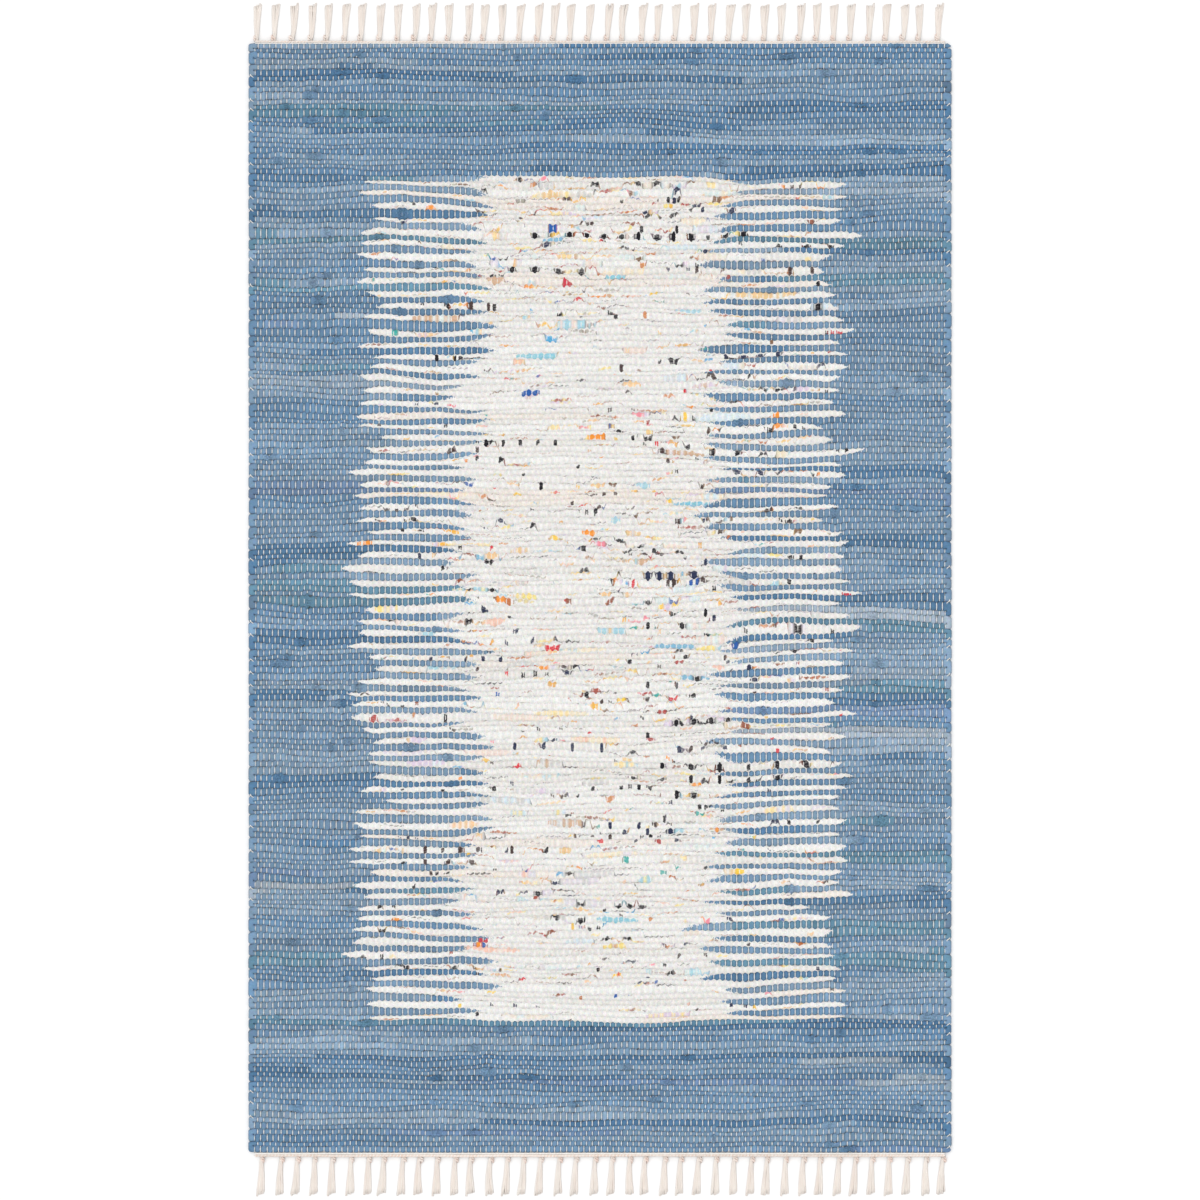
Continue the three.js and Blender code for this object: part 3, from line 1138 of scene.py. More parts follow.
def swept(path: Array, radius: Array, corners: int, flat: float = 1.0, low: float = 0.0) -> Array:
    """Sweep round rings along paths.

    Args:
        path: the points, shape (tubes, points, 3).
        radius: the radius at each point, shape (tubes, points).
        corners: how many corners a ring has.
        flat: how high a ring is for its width.
        low: no corner goes below this height.

    Returns:
        The rings, shape (tubes, points, corners, 3), for Tubes.
    """
    ahead = np.gradient(path, axis=1)
    ahead /= np.maximum(np.linalg.norm(ahead, axis=-1, keepdims=True), 1e-9)
    steep = np.abs(ahead[..., 2:]) > 0.9
    up = np.where(steep, np.array([0.0, 1.0, 0.0]), np.array([0.0, 0.0, 1.0]))
    left = np.cross(up, ahead)
    left /= np.maximum(np.linalg.norm(left, axis=-1, keepdims=True), 1e-9)
    above = np.cross(ahead, left)
    start = math.pi / 2 - math.pi / corners if corners % 2 == 0 else math.pi / 2
    angles = start - 2 * math.pi * np.arange(corners) / corners
    to_left = -np.cos(angles)[None, None, :, None]
    high = flat * np.sin(angles)[None, None, :, None]
    size = radius[:, :, None, None]
    section = to_left * left[:, :, None, :] + high * above[:, :, None, :]
    rings = path[:, :, None, :] + size * section
    rings[..., 2] = np.maximum(rings[..., 2], low)
    return rings


@dataclass
class Heading:
    """The twined edge beyond the last weft: cords of yarn twisted round the warp ends.

    The cord next to the cloth is paler and stands higher, because it is mostly warp ends, and the
    plies of the outer cord take turns between a paler and a warmer yarn.

    Attributes:
        plan: the fringe's sizes.
        pitch: the length of one full turn of a cord.
        rings_per_pitch: rings on a yarn for each turn.
        heights: how high the inner and the outer cord's axis lie.
        girths: a yarn's radius in the two cords, as a share of the cord's width.
        crowding: how much of that a yarn of a three-ply cord keeps.
        least_swing: the least that a yarn swings to each side of its cord's axis.
        flatness: how high a yarn is for its width.
        sway: how far the outer cord sways sideways.
        warmths: how warm the outer cord's plies are, in turns.
        uneven_radius: how much a yarn's radius strays, as a share.
        uneven_warmth: how much its warmth strays, as a power of e.
        floor_gap: no yarn goes below this height.
    """

    plan: FringePlan
    pitch: float = 4.4 * MM
    rings_per_pitch: int = 3
    heights: tuple[float, float] = (4.6 * MM, 4.0 * MM)
    girths: tuple[float, float] = (0.42, 0.34)
    crowding: float = 0.9
    least_swing: float = 0.2 * MM
    flatness: float = 0.6
    sway: float = 0.2 * MM
    warmths: tuple[float, float] = (0.42, 0.12)
    uneven_radius: float = 0.06
    uneven_warmth: float = 0.25
    floor_gap: float = 0.1 * MM

    def build(self) -> bpy.types.Object:
        """Twine the yarns.

        Returns:
            The heading's piece.
        """
        plan = self.plan
        rng = np.random.default_rng(plan.seed + 40)
        count = int(plan.heading_length / self.pitch * self.rings_per_pitch)
        x = np.linspace(-plan.heading_length / 2, plan.heading_length / 2, count)
        paths, radii, warmths = [], [], []
        for row, (start, width, plies) in enumerate(plan.cords):
            yarn = width * self.girths[row] * (1.0 if plies == 2 else self.crowding)
            swing = max(width / 2 - yarn, self.least_swing)
            sway = self.sway * soft_noise(rng, (1, count), columns=14)[0] * row
            for ply in range(plies):
                angle = 2 * math.pi * (x / self.pitch * (-1) ** row + ply / plies)
                y = start + width / 2 + sway + swing * np.cos(angle)
                z = self.heights[row] + 0.5 * yarn * np.sin(angle)
                paths.append(np.stack([x, y, z], axis=-1))
                radii.append(yarn * (1 + self.uneven_radius * rng.standard_normal(count)))
                stray = self.uneven_warmth * soft_noise(rng, (1, count), columns=3)[0]
                warmths.append(self.warmths[ply % 2] * row * np.exp(stray))
        rings = swept(np.array(paths), np.array(radii), 4, self.flatness, self.floor_gap)
        tubes = Tubes(plan.laid(rings), {"warmth": np.array(warmths)[:, :, None]})
        return build_piece(f"heading_{plan.end.name.lower()}", [tubes])


@dataclass
class Tassels:
    """The row of tassels: each a dozen loose yarns, bound near the cloth by a knot of their own.

    The yarns lie in two layers. A pair of sizes is the one at the yarns' roots and at their tips.

    Attributes:
        plan: the fringe's sizes.
        yarns: loose yarns in a tassel.
        spread: the width over which they lie.
        yarn: a yarn's radius.
        under_height: how high the lower layer lies.
        layer_lift: how much higher the upper layer lies.
        layer_shift: how far the layers lie beside each other, as a share of the spread.
        crown: how much lower the upper layer lies at the tassel's sides.
        root_inside: how far the yarns start inside the heading.
        root_beside: how far they start beside the knot's middle.
        trimmed: how far the tips lie short of the fringe's reach.
        slant: how much longer a tassel is at one side.
        ragged: how far the tips stray.
        wisps: the least and most that the yarns at one side are longer.
        wisp_side: how far to that side such yarns begin, the tassel's half width being 0.5.
        most_past: how far at most a tip lies past the fringe's reach.
        under_shorter: how much shorter the lower layer is.
        wave: how far a yarn waves sideways.
        sway: how far a whole tassel bends sideways.
        hump: how much higher the yarns lie under the knot.
        uneven_height: how far a yarn strays up and down.
        knot_beside: how far the knot lies beside the row's own places.
        knot_start: how far the knot starts past the heading.
        knot_length: how far its yarn winds on along the tassel.
        knot_half: the radius of its winding across and up.
        knot_height: how high its axis lies.
        knot_tilt: how far a turn slants along the tassel.
        knot_yarn: the radius of its yarn.
        turns: how often it winds round.
        stubs: the number of yarns in the bight beside a knot.
        floor_gap: no yarn goes below this height.
    """

    plan: FringePlan
    yarns: int = 12
    spread: tuple[float, float] = (1.5 * MM, 8.3 * MM)
    yarn: tuple[float, float] = (0.97 * MM, 1.62 * MM)
    under_height: tuple[float, float] = (0.85 * MM, 0.95 * MM)
    layer_lift: tuple[float, float] = (1.75 * MM, 0.90 * MM)
    layer_shift: float = 0.08
    crown: float = 0.45 * MM
    root_inside: float = 1.0 * MM
    root_beside: float = 0.9 * MM
    trimmed: float = 2.0 * MM
    slant: float = 1.2 * MM
    ragged: float = 0.7 * MM
    wisps: tuple[float, float] = (0.8 * MM, 2.6 * MM)
    wisp_side: float = 0.35
    most_past: float = 1.2 * MM
    under_shorter: float = 1.4 * MM
    wave: float = 0.35 * MM
    sway: float = 0.6 * MM
    hump: float = 1.0 * MM
    uneven_height: float = 0.1 * MM
    knot_beside: float = -0.9 * MM
    knot_start: float = 0.9 * MM
    knot_length: float = 5.4 * MM
    knot_half: float = 2.0 * MM
    knot_height: float = 2.95 * MM
    knot_tilt: float = 0.8 * MM
    knot_yarn: float = 1.3 * MM
    turns: float = 1.75
    stubs: int = 3
    floor_gap: float = 0.05 * MM

    # Where a loose yarn's rings lie along it: closer together near the knot, where it bends most.
    YARN_STEPS = (0.0, 0.1, 0.2, 0.34, 0.5, 0.66, 0.84, 1.0)

    # The bight's sizes: the outermost yarn's distance from the knot's middle, length, height and
    # radius, and by how much each further yarn differs and each one drops towards its tip.
    STUB_OUT, STUB_OUT_STEP = 1.9 * MM, 0.5 * MM
    STUB_LENGTH, STUB_LENGTH_STEP = 8.6 * MM, 0.5 * MM
    STUB_HEIGHT, STUB_HEIGHT_STEP = 3.6 * MM, 0.75 * MM
    STUB_DROP = 1.2 * MM
    STUB_INSIDE = 0.6 * MM
    STUB_YARN = 1.15 * MM

    def _tips(self, rng: np.random.Generator, across: Array, layer: Array) -> Array:
        """Cut the tips to length.

        Args:
            rng: the seeded source.
            across: each yarn's place across its tassel, -0.5 to 0.5.
            layer: 0 for the lower layer, 1 for the upper.

        Returns:
            How far each tip lies from the cloth's end, shape (yarns,).
        """
        jag = self.ragged * rng.standard_normal(len(across)) + self.slant * across
        wisp = (across > self.wisp_side) * rng.uniform(*self.wisps, len(across))
        reach = self.plan.reach
        tip = np.minimum(reach - self.trimmed + jag + wisp, reach + self.most_past)
        return tip - self.under_shorter * (1 - layer)

    def _skirts(self, rng: np.random.Generator) -> Array:
        """Lay the loose yarns of every tassel, shape (yarns, rings, 3, 3)."""
        plan = self.plan
        tassel = np.repeat(np.arange(plan.tassels), self.yarns)
        own = np.tile(np.arange(self.yarns), plan.tassels)
        layer, place = own % 2, own // 2
        across = place / (self.yarns / 2 - 1) - 0.5 + (layer - 0.5) * self.layer_shift
        start = plan.heading - self.root_inside
        tip = self._tips(rng, across, layer)
        t = np.array(self.YARN_STEPS)
        wave = self.wave * soft_noise(rng, (len(own), len(t)), columns=1.2) * t**0.7
        leans = self.root_beside + (plan.tip_shift()[tassel, None] - self.root_beside) * t
        bends = self.sway * rng.standard_normal(plan.tassels)
        middle = plan.knot_x()[tassel, None] + leans + bends[tassel, None] * np.sin(math.pi * t)
        x = middle + across[:, None] * between(self.spread, t**0.8) + wave
        y = start + (tip - start)[:, None] * t
        hump = self.hump * np.exp(-(((t - 0.12) / 0.1) ** 2))
        z = between(self.under_height, t) + layer[:, None] * between(self.layer_lift, t) + hump
        z = z + self.uneven_height * rng.standard_normal(x.shape)
        z -= self.crown * (np.abs(across)[:, None] * 2) ** 2 * layer[:, None]
        radius = between(self.yarn, t) * (1 + 0.05 * rng.standard_normal(x.shape))
        radius[:, -1] *= 0.92
        path = np.stack([x, y, z], axis=-1)
        return swept(path, radius, 3, flat=0.85, low=self.floor_gap)

    def _wraps(self, rng: np.random.Generator) -> Array:
        """Wind each knot's yarn round its tassel, shape (tassels, rings, 4, 3)."""
        plan = self.plan
        t = np.linspace(0, 1, 17)[None, :]
        angle = 2 * math.pi * self.turns * t + math.pi * 0.4
        size = 1 + 0.08 * rng.standard_normal((plan.tassels, 1))
        middle = plan.knot_x()[:, None] + self.knot_beside
        x = middle + self.knot_half * size * np.cos(angle)
        y = plan.heading + self.knot_start + self.knot_length * t - self.knot_tilt * np.cos(angle)
        z = self.knot_height + self.knot_half * np.sin(angle)
        radius = self.knot_yarn * size * (1 - 0.3 * np.abs(2 * t - 1) ** 4)
        path = np.stack(np.broadcast_arrays(x, y, z), axis=-1)
        return swept(path, radius, 4, low=self.floor_gap)

    def _bights(self, rng: np.random.Generator) -> Array:
        """Shape the bight that stands out beside each knot, shape (stubs, rings, 3, 3)."""
        plan = self.plan
        tassel = np.repeat(np.arange(plan.tassels), self.stubs)
        own = np.tile(np.arange(self.stubs), plan.tassels)[:, None]
        t = np.linspace(0, 1, 6)[None, :]
        out = self.STUB_OUT + own * self.STUB_OUT_STEP
        stray = 0.2 * MM * rng.standard_normal((len(own), 1))
        x = plan.knot_x()[tassel, None] - out * np.sin(math.pi * (0.15 + 0.55 * t)) + stray
        length = self.STUB_LENGTH + 0.8 * MM * rng.standard_normal((len(own), 1))
        y = plan.heading - self.STUB_INSIDE + (length - self.STUB_LENGTH_STEP * own) * t
        z = self.STUB_HEIGHT - self.STUB_HEIGHT_STEP * own - self.STUB_DROP * t
        radius = np.broadcast_to(self.STUB_YARN * (1 - 0.35 * t**3), x.shape)
        path = np.stack([x, y, z], axis=-1)
        return swept(path, radius, 3, low=self.floor_gap)

    def build(self) -> bpy.types.Object:
        """Knot the row of tassels.

        Returns:
            The tassels' piece.
        """
        rng = np.random.default_rng(self.plan.seed + 50)
        # The rings, their part of the bake map from bottom to top with its columns, and the least
        # and most warmth of a yarn.
        layouts = (
            (self._skirts(rng), (0.0, 0.72), 6, (0.0, 0.2)),
            (self._wraps(rng), (0.72, 0.84), 4, (0.2, 0.75)),
            (self._bights(rng), (0.84, 1.0), 8, (0.3, 0.8)),
        )
        sets = []
        for rings, (bottom, top), columns, warmths in layouts:
            marks = {"warmth": rng.uniform(*warmths, len(rings))[:, None, None]}
            region = (0.0, bottom, 1.0, top)
            sets.append(Tubes(self.plan.laid(rings), marks, region=region, columns=columns))
        return build_piece(f"tassels_{self.plan.end.name.lower()}", sets)


# The setting of a Map Range node that eases a value from 0 at its low end to 1 at its high end
EASED = {"interpolation_type": "SMOOTHSTEP"}

# What a node's input is linked from: a socket, or a node for its first output in use
Source = bpy.types.NodeSocket | bpy.types.Node


def add_node(
    tree: bpy.types.NodeTree,
    kind: str,
    inputs: dict[str | int, Any] | tuple[Any, ...] = (),
    **settings: Any,
) -> bpy.types.Node:
    """Add a shader node with its settings, values and links.

    Args:
        tree: the node tree.
        kind: the node's type without its prefix, such as "Math".
        inputs: the inputs by name or number, or the first ones in order. Each is a value, a socket
            to link from, or a node, which is linked from its first output in use.
        settings: properties of the node.

    Returns:
        The node.
    """
    node = tree.nodes.new(f"ShaderNode{kind}")
    for name, value in settings.items():
        setattr(node, name, value)
    given = inputs if isinstance(inputs, dict) else dict(enumerate(inputs))
    for key, value in given.items():
        if isinstance(value, bpy.types.Node):
            value = next(socket for socket in value.outputs if socket.enabled)
        if isinstance(value, bpy.types.NodeSocket):
            tree.links.new(value, node.inputs[key])
        else:
            node.inputs[key].default_value = value
    return node


def new_material(name: str) -> tuple[bpy.types.Material, bpy.types.NodeTree]:
    """Make an empty node material.

    Args:
        name: the material's name.

    Returns:
        The material and its node tree.
    """
    material = bpy.data.materials.new(name)
    material.use_nodes = True
    material.node_tree.nodes.clear()
    return material, material.node_tree


def patches(place: Source, width: float, detail: float) -> dict[str, Any]:
    """Give the inputs of a noise whose patches have a real width.

    Args:
        place: where the noise is read.
        width: the width of its patches.
        detail: how much finer detail they have.

    Returns:
        The inputs, by name.
    """
    return {"Vector": place, "Scale": 1 / width, "Detail": detail}


@dataclass(frozen=True)
class RagFinish:
    """Cut cotton rag, washed and matt: soft folds along the strip, a little frayed at the edges.

    Its tones come from the rags' plan. The blue is painted darker in the crevices beside each warp
    float and between two wefts: painted shade, on top of the shade that the weave's relief casts.
    The white is painted a little paler there instead: painted light that lifts its shade.

    Attributes:
        roughness: the roughness of washed cotton, fully matt.
        specular: its weak gloss.
        sheen: the fuzz on it.
        fray_width: the width of a frayed tuft at the edge of a tone.
        fold_width: the width of a fold in the strip.
        fold_stretch: the folds' scale across, along and up, drawn out along the strip.
        fold_depth: their depth.
        fold_shade: how much they lighten and darken the rag, as a share.
        fade_width: the width of a faded patch.
        fading: how much such patches lighten and darken it.
        grain_width: the width of a tuft of fibre, drawn as coarse as it needs to show.
        graininess: how much the tufts lighten and darken it.
        stain_width: the width of a patch of slightly other hue.
        staining: how much such patches change its red, green and blue.
        painted_crevice_shade: how much painted shade darkens the blue beside a warp float.
        groove: how much painted shade darkens it between two wefts.
        painted_shade_in_white: the share of both in the white, below 0 as painted light that makes
            the white paler.
        join_shade: how much darker the frayed parts of a blue join are.
        print_strength: the strength of a print's colour where it is worn, and what the folds add.
        lightest: the lightest that any channel gets.
    """

    roughness: float = 0.95
    specular: float = 0.25
    sheen: float = 0.12
    fray_width: float = 1.923 * MM
    fold_width: float = 1.111 * MM
    fold_stretch: tuple[float, float, float] = (0.16, 1.0, 1.0)
    fold_depth: float = 0.16 * MM
    fold_shade: float = 0.22
    fade_width: float = 5.882 * MM
    fading: float = 0.36
    grain_width: float = 1.2195 * MM
    graininess: float = 0.46
    stain_width: float = 3.333 * MM
    staining: tuple[float, float, float] = (0.36, 0.30, 0.36)
    # These three paint shade into the crevices, and paint light there in the white.
    painted_crevice_shade: float = 0.44
    groove: float = 0.42
    painted_shade_in_white: float = -0.45
    join_shade: float = 0.42
    print_strength: tuple[float, float] = (0.50, 0.42)
    lightest: float = 0.96

    def material(self) -> bpy.types.Material:
        """Build the material.

        Returns:
            The rag's material.
        """
        material, tree = new_material("washed_cotton_rag")
        place = add_node(tree, "TexCoord").outputs["Object"]
        fray = add_node(tree, "TexNoise", patches(place, self.fray_width, 3.0))
        stretched = add_node(tree, "Mapping", {"Vector": place, "Scale": self.fold_stretch})
        folds = add_node(tree, "TexNoise", patches(stretched, self.fold_width, 3.0))
        section = self._parts(tree, "section")
        ragged = add_node(tree, "Math", (fray, 0.9, -0.45), operation="MULTIPLY_ADD")
        is_blue = self._blue(tree, section[0], ragged)
        printed = self._print(tree, section[0], ragged, folds)
        tone = add_node(tree, "Attribute", attribute_name="second_tone").outputs["Vector"]
        for amount, name in ((is_blue, "first_tone"), (printed, "fleck_tone")):
            over = add_node(tree, "Attribute", attribute_name=name).outputs["Vector"]
            # A Mix node of vectors takes its two tones as its inputs 4 and 5.
            tone = add_node(tree, "Mix", {0: amount, 4: tone, 5: over}, data_type="VECTOR")
        shade = self._mottling(tree, place, folds)
        # Painted shade in the crevices, then the darker frayed joins.
        for kept in (self._painted_crevice_shade(tree, section, is_blue), self._joins(tree, fray, is_blue)):
            shade = add_node(tree, "Math", (shade, kept), operation="MULTIPLY")
        colour = add_node(tree, "VectorMath", (tone, shade), operation="MULTIPLY")
        stained = self._stains(tree, place)
        colour = add_node(tree, "VectorMath", (colour, stained), operation="MULTIPLY")
        lightest = (self.lightest,) * 3
        colour = add_node(tree, "VectorMath", (colour, lightest), operation="MINIMUM")
        bump = add_node(
            tree, "Bump", {"Height": folds, "Distance": self.fold_depth, "Strength": 0.8}
        )
        shader = add_node(
            tree,
            "BsdfPrincipled",
            {
                "Base Color": colour,
                "Roughness": self.roughness,
                "Specular IOR Level": self.specular,
                "Sheen Weight": self.sheen,
                "Normal": bump,
            },
        )
        add_node(tree, "OutputMaterial", {"Surface": shader})
        return material

    @staticmethod
    def _parts(tree: bpy.types.NodeTree, name: str) -> list[bpy.types.NodeSocket]:
        """Read the three parts of one of the mesh's marks."""
        mark = add_node(tree, "Attribute", attribute_name=name).outputs["Vector"]
        return list(add_node(tree, "SeparateXYZ", (mark,)).outputs)

    @staticmethod
    def _distance(tree: bpy.types.NodeTree, a: Source, b: Source) -> bpy.types.Node:
        """Work out how far apart two values are."""
        difference = add_node(tree, "Math", (a, b), operation="SUBTRACT")
        return add_node(tree, "Math", (difference,), operation="ABSOLUTE")

    def _blue(self, tree: bpy.types.NodeTree, across: Source, ragged: Source) -> bpy.types.Node:
        """Find where the first tone lies: it tapers to a frayed point where it meets the second.

        Args:
            tree: the node tree.
            across: the place across the rag.
            ragged: how far the edge of a tone strays.

        Returns:
            A node that gives 1 in the first tone and 0 in the second.
        """
        inside, sign, tail_place = self._parts(tree, "tail")
        beside = self._distance(tree, across, tail_place)
        taper = add_node(tree, "Math", (0.9, beside), operation="SUBTRACT")
        tapered = add_node(tree, "Math", (taper, sign, inside), operation="MULTIPLY_ADD")
        frayed = add_node(tree, "Math", (ragged, 1.5, tapered), operation="MULTIPLY_ADD")
        return add_node(tree, "MapRange", (frayed, -0.10, 0.10), **EASED)

    def _print(
        self, tree: bpy.types.NodeTree, across: Source, ragged: Source, folds: Source
    ) -> bpy.types.Node:
        """Find where a coloured mark lies, worn on the folds and less so where it is wide.

        Args:
            tree: the node tree.
            across: the place across the rag.
            ragged: how far the edge of a mark strays.
            folds: the folds.

        Returns:
            A node that gives the strength of the mark's colour.
        """
        lies, fleck_place, half = self._parts(tree, "fleck")
        beside = self._distance(tree, across, fleck_place)
        inside = add_node(tree, "Math", (half, beside), operation="SUBTRACT")
        inside = add_node(tree, "Math", (ragged, 0.5, inside), operation="MULTIPLY_ADD")
        along = add_node(tree, "Math", (ragged, 2.0, lies), operation="MULTIPLY_ADD")
        nearest = add_node(tree, "Math", (along, inside), operation="MINIMUM")
        is_fleck = add_node(tree, "MapRange", (nearest, -0.08, 0.08), **EASED)
        least, more = self.print_strength
        raised = add_node(tree, "MapRange", (folds, 0.35, 0.65), **EASED)
        strength = add_node(tree, "Math", (raised, more, least), operation="MULTIPLY_ADD")
        strength = add_node(tree, "Math", (half, 0.5, strength), operation="MULTIPLY_ADD")
        strength = add_node(tree, "Math", (strength, 1.0), operation="MINIMUM")
        return add_node(tree, "Math", (is_fleck, strength), operation="MULTIPLY")

    def _mottling(
        self, tree: bpy.types.NodeTree, place: Source, folds: Source
    ) -> bpy.types.Node:
        """Work out how the folds, the fading and the fibre lighten and darken the rag."""
        faded = add_node(tree, "TexNoise", patches(place, self.fade_width, 4.0))
        grain = add_node(tree, "TexNoise", patches(place, self.grain_width, 2.0))
        shades = []
        for pattern, amount in (
            (folds, self.fold_shade),
            (faded, self.fading),
            (grain, self.graininess),
        ):
            steps = (pattern, amount, 1 - amount / 2)
            shades.append(add_node(tree, "Math", steps, operation="MULTIPLY_ADD"))
        both = add_node(tree, "Math", tuple(shades[:2]), operation="MULTIPLY")
        return add_node(tree, "Math", (both, shades[2]), operation="MULTIPLY")

    def _stains(self, tree: bpy.types.NodeTree, place: Source) -> bpy.types.Node:
        """Work out how the rag's hue strays from patch to patch."""
        stains = add_node(tree, "TexNoise", patches(place, self.stain_width, 3.0))
        least = tuple(1 - amount / 2 for amount in self.staining)
        steps = (stains.outputs["Color"], self.staining, least)
        return add_node(tree, "VectorMath", steps, operation="MULTIPLY_ADD")

    def _painted_crevice_shade(
        self, tree: bpy.types.NodeTree, section: list[Source], is_blue: Source
    ) -> bpy.types.Node:
        """Work out how much of its tone the rag keeps under the painted shade in the crevices.

        Args:
            tree: the node tree.
            section: the parts of the section mark.
            is_blue: where the first tone lies.

        Returns:
            A node that gives 1 outside the crevices.
        """
        painted_depths = []
        for part, amount in ((section[1], self.painted_crevice_shade), (section[2], self.groove)):
            eased = add_node(tree, "MapRange", (part, 0.35, 1.0), **EASED)
            painted_depths.append(add_node(tree, "Math", (eased, amount), operation="MULTIPLY"))
        deepest_painted_shade = add_node(tree, "Math", tuple(painted_depths), operation="MAXIMUM")
        # The blue takes the painted shade in full; in the white it turns to painted light.
        by_tone = (is_blue, 1 - self.painted_shade_in_white, self.painted_shade_in_white)
        depth = add_node(tree, "Math", by_tone, operation="MULTIPLY_ADD")
        dark = add_node(tree, "Math", (deepest_painted_shade, depth), operation="MULTIPLY")
        return add_node(tree, "Math", (1.0, dark), operation="SUBTRACT")

    def _joins(
        self, tree: bpy.types.NodeTree, fray: Source, is_blue: Source
    ) -> bpy.types.Node:
        """Work out how much of its tone the rag keeps on the frayed lumps of the joins."""
        lump = add_node(tree, "Attribute", attribute_name="lump").outputs["Fac"]
        dark = add_node(tree, "MapRange", (fray, 0.38, 0.58), **EASED)
        for factor in (lump, is_blue, self.join_shade):
            dark = add_node(tree, "Math", (dark, factor), operation="MULTIPLY")
        return add_node(tree, "Math", (1.0, dark), operation="SUBTRACT")


@dataclass(frozen=True)
class CottonFinish:
    """Undyed cotton yarn, plied and matt, with a faint fuzz; each yarn differs a little in tone.

    Attributes:
        name: the material's name.
        tones: the paler and the deeper tone of the yarns.
        warm_tone: the tone that a yarn's "warmth" mark turns it to, or nothing.
        roughness: the roughness of raw cotton, nearly fully matt.
        specular: its weak gloss.
        sheen: the fuzz on it.
        batch_width: the width over which the tone changes.
        batch_stretch: its scale across, along and up, drawn out along the yarns.
        fibre_width: the width of a tuft of fibre.
        ply_depth: how deep it is between the tufts.
    """

    name: str
    tones: tuple[str, str]
    warm_tone: str = ""
    roughness: float = 0.92
    specular: float = 0.25
    sheen: float = 0.15
    batch_width: float = 3.846 * MM
    batch_stretch: tuple[float, float, float] = (1.0, 0.15, 1.0)
    fibre_width: float = 0.6667 * MM
    ply_depth: float = 0.12 * MM

    def material(self) -> bpy.types.Material:
        """Build the material.

        Returns:
            The yarn's material.
        """
        material, tree = new_material(self.name)
        place = add_node(tree, "TexCoord").outputs["Object"]
        stretched = add_node(tree, "Mapping", {"Vector": place, "Scale": self.batch_stretch})
        batch = add_node(tree, "TexNoise", patches(stretched, self.batch_width, 2.0))
        fibre = add_node(tree, "TexNoise", patches(place, self.fibre_width, 2.0))
        colour = add_node(tree, "ValToRGB", (batch,))
        low, high = colour.color_ramp.elements
        low.position, high.position = 0.35, 0.65
        for element, tone in zip((low, high), self.tones, strict=True):
            element.color = (*linear(tone), 1.0)
        if self.warm_tone:
            warmth = add_node(tree, "Attribute", attribute_name="warmth").outputs["Fac"]
            warm = (*linear(self.warm_tone), 1.0)
            colour = add_node(tree, "MixRGB", {"Fac": warmth, "Color1": colour, "Color2": warm})
        bump = add_node(
            tree, "Bump", {"Height": fibre, "Distance": self.ply_depth, "Strength": 0.6}
        )
        shader = add_node(
            tree,
            "BsdfPrincipled",
            {
                "Base Color": colour,
                "Roughness": self.roughness,
                "Specular IOR Level": self.specular,
                "Sheen Weight": self.sheen,
                "Normal": bump,
            },
        )
        add_node(tree, "OutputMaterial", {"Surface": shader})
        return material


# The warp is the least warm of the yarns, the loose ends of a tassel are a little warmer, and the
# headings are twined of a pale yarn and a warmer one.
WARP_YARN = CottonFinish("undyed_cotton_yarn", ("#f4f2ee", "#ebe8e3"))
LOOSE_YARN = CottonFinish("loose_cotton_yarn", ("#f7f1ea", "#f0e9e2"), "#efd3c6")
HEADING_YARN = CottonFinish("cotton_heading_yarn", ("#f7f4f0", "#f3eee8"), "#eecbb4")


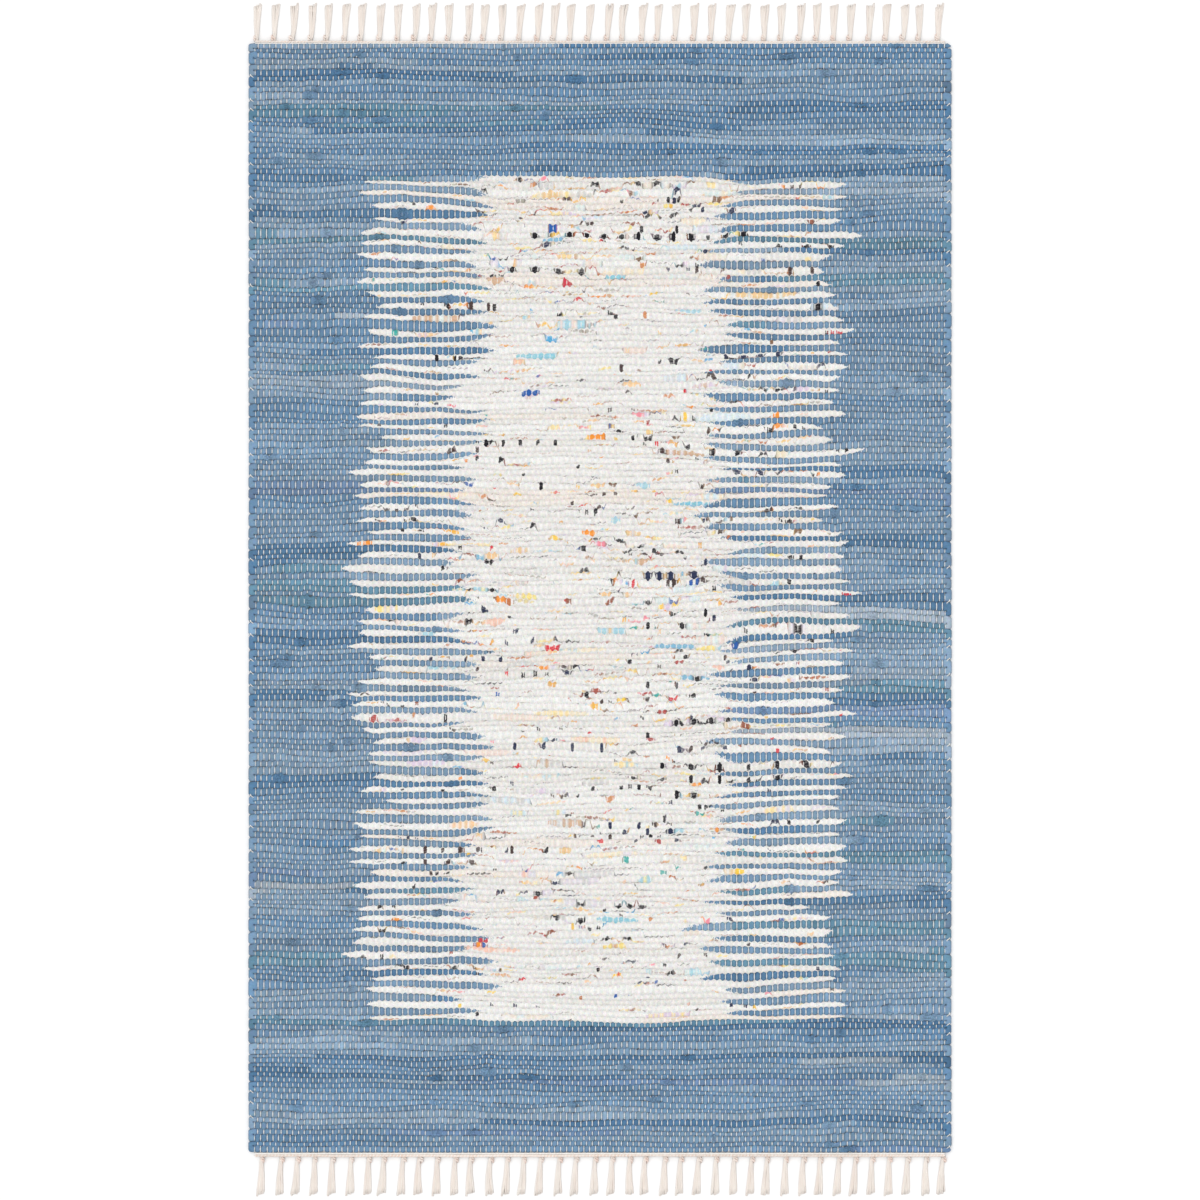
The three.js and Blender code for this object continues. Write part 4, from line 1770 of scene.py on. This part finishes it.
@dataclass
class Studio:
    """The pale floor, the soft light and the camera straight above the rug.

    Attributes:
        top: the height of the rug's face.
        frame_height: the height of the picture's frame at the rug.
        centre_y: the y that lies at the middle of the frame.
        lens: the camera's focal length, in millimetres, long so that the view is nearly flat.
        floor_size: the side of the floor.
        floor_tone: how pale it is.
        sky: the strength of the light from all round.
        sun: the strength of the soft light from the left.
        sun_place: where that light comes from.
        sun_angle: how wide it is, in degrees.
    """

    top: float
    frame_height: float = 1562.4 * MM
    centre_y: float = -0.6 * MM
    lens: float = 90.0
    floor_size: float = 80.0
    floor_tone: float = 0.96
    sky: float = 0.90
    sun: float = 0.74
    sun_place: tuple[float, float, float] = (-1.2, 0.6, 3.0)
    sun_angle: float = 50.0

    def camera(self) -> None:
        """Add the camera, looking straight down with +Y up."""
        data = bpy.data.cameras.new("above")
        data.lens = self.lens
        data.sensor_fit = "HORIZONTAL"
        distance = self.frame_height * self.lens / data.sensor_width
        camera = bpy.data.objects.new("above", data)
        camera.location = (0.0, self.centre_y, self.top + distance)
        bpy.context.collection.objects.link(camera)
        bpy.context.scene.camera = camera

    def floor(self) -> None:
        """Add the floor, a large pale matt sheet."""
        bpy.ops.mesh.primitive_plane_add(size=self.floor_size, location=(0.0, 0.0, 0.0))
        floor = bpy.context.object
        floor.name = "floor"
        material, tree = new_material("pale_floor")
        tone = (self.floor_tone,) * 3 + (1.0,)
        inputs = {"Base Color": tone, "Roughness": 0.9, "Specular IOR Level": 0.1}
        add_node(tree, "OutputMaterial", {"Surface": add_node(tree, "BsdfPrincipled", inputs)})
        floor.data.materials.append(material)

    def lights(self) -> None:
        """Light the scene softly from all round, a little more from the left."""
        world = bpy.data.worlds.new("studio")
        world.use_nodes = True
        background = world.node_tree.nodes["Background"]
        background.inputs["Color"].default_value = (1.0, 1.0, 1.0, 1.0)
        background.inputs["Strength"].default_value = self.sky
        bpy.context.scene.world = world
        data = bpy.data.lights.new("soft_box", "SUN")
        data.angle = math.radians(self.sun_angle)
        data.energy = self.sun
        light = bpy.data.objects.new("soft_box", data)
        light.location = self.sun_place
        light.rotation_euler = (-light.location).to_track_quat("-Z", "Y").to_euler()
        bpy.context.collection.objects.link(light)


def dress(
    piece: bpy.types.Object, material: bpy.types.Material, node: str
) -> bpy.types.Object:
    """Give a piece its material and body, and hide the solid that it stands for.

    Args:
        piece: the piece.
        material: its material.
        node: the solid that it replaces.

    Returns:
        The piece.
    """
    piece.data.materials.append(material)
    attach(piece, BODY)
    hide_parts(node)
    return piece


def build_fringes(cloth_box: Box) -> list[bpy.types.Object]:
    """Twine the headings and knot the tassels at both ends.

    Args:
        cloth_box: the cloth's lowest and highest corners.

    Returns:
        The two headings and the two rows of tassels.
    """
    heading_yarn = HEADING_YARN.material()
    loose_yarn = LOOSE_YARN.material()
    pieces = []
    for plan in (
        FringePlan(End.FAR, cloth_box[1][1], 3.9 * MM, FAR_CORDS, 52.5 * MM, 11),
        FringePlan(End.NEAR, cloth_box[0][1], 6.5 * MM, NEAR_CORDS, 57.0 * MM, 23),
    ):
        node = f"fringe_{plan.end.name.lower()}"
        pieces.append(dress(Heading(plan).build(), heading_yarn, node))
        pieces.append(dress(Tassels(plan).build(), loose_yarn, node))
    return pieces


def main() -> None:
    """Build the rug piece by piece, and light and frame it."""
    logging.basicConfig(level=logging.INFO, format="%(name)s: %(message)s")
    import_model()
    bpy.ops.object.select_all(action="DESELECT")
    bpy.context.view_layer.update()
    cloth_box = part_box("woven_cloth")
    loom = Loom(tuple(tuple(corner) for corner in cloth_box))
    studio = Studio(top=cloth_box[1][2])
    studio.camera()
    studio.floor()
    studio.lights()
    bpy.context.scene.view_settings.view_transform = "Standard"
    weave = Weave(loom, RagPlan(loom))
    rag = RagFinish().material()
    yarn = WARP_YARN.material()
    wefts = [dress(p, rag, "woven_cloth") for p in RagWefts(weave).build()]
    warps = [dress(p, yarn, "woven_cloth") for p in WarpEnds(weave).build()]
    fringes = build_fringes(cloth_box)
    triangles = sum(triangle_count(piece.data) for piece in wefts + warps + fringes)
    LOG.info("all pieces: %d triangles", triangles)


if __name__ == "__main__":
    main()
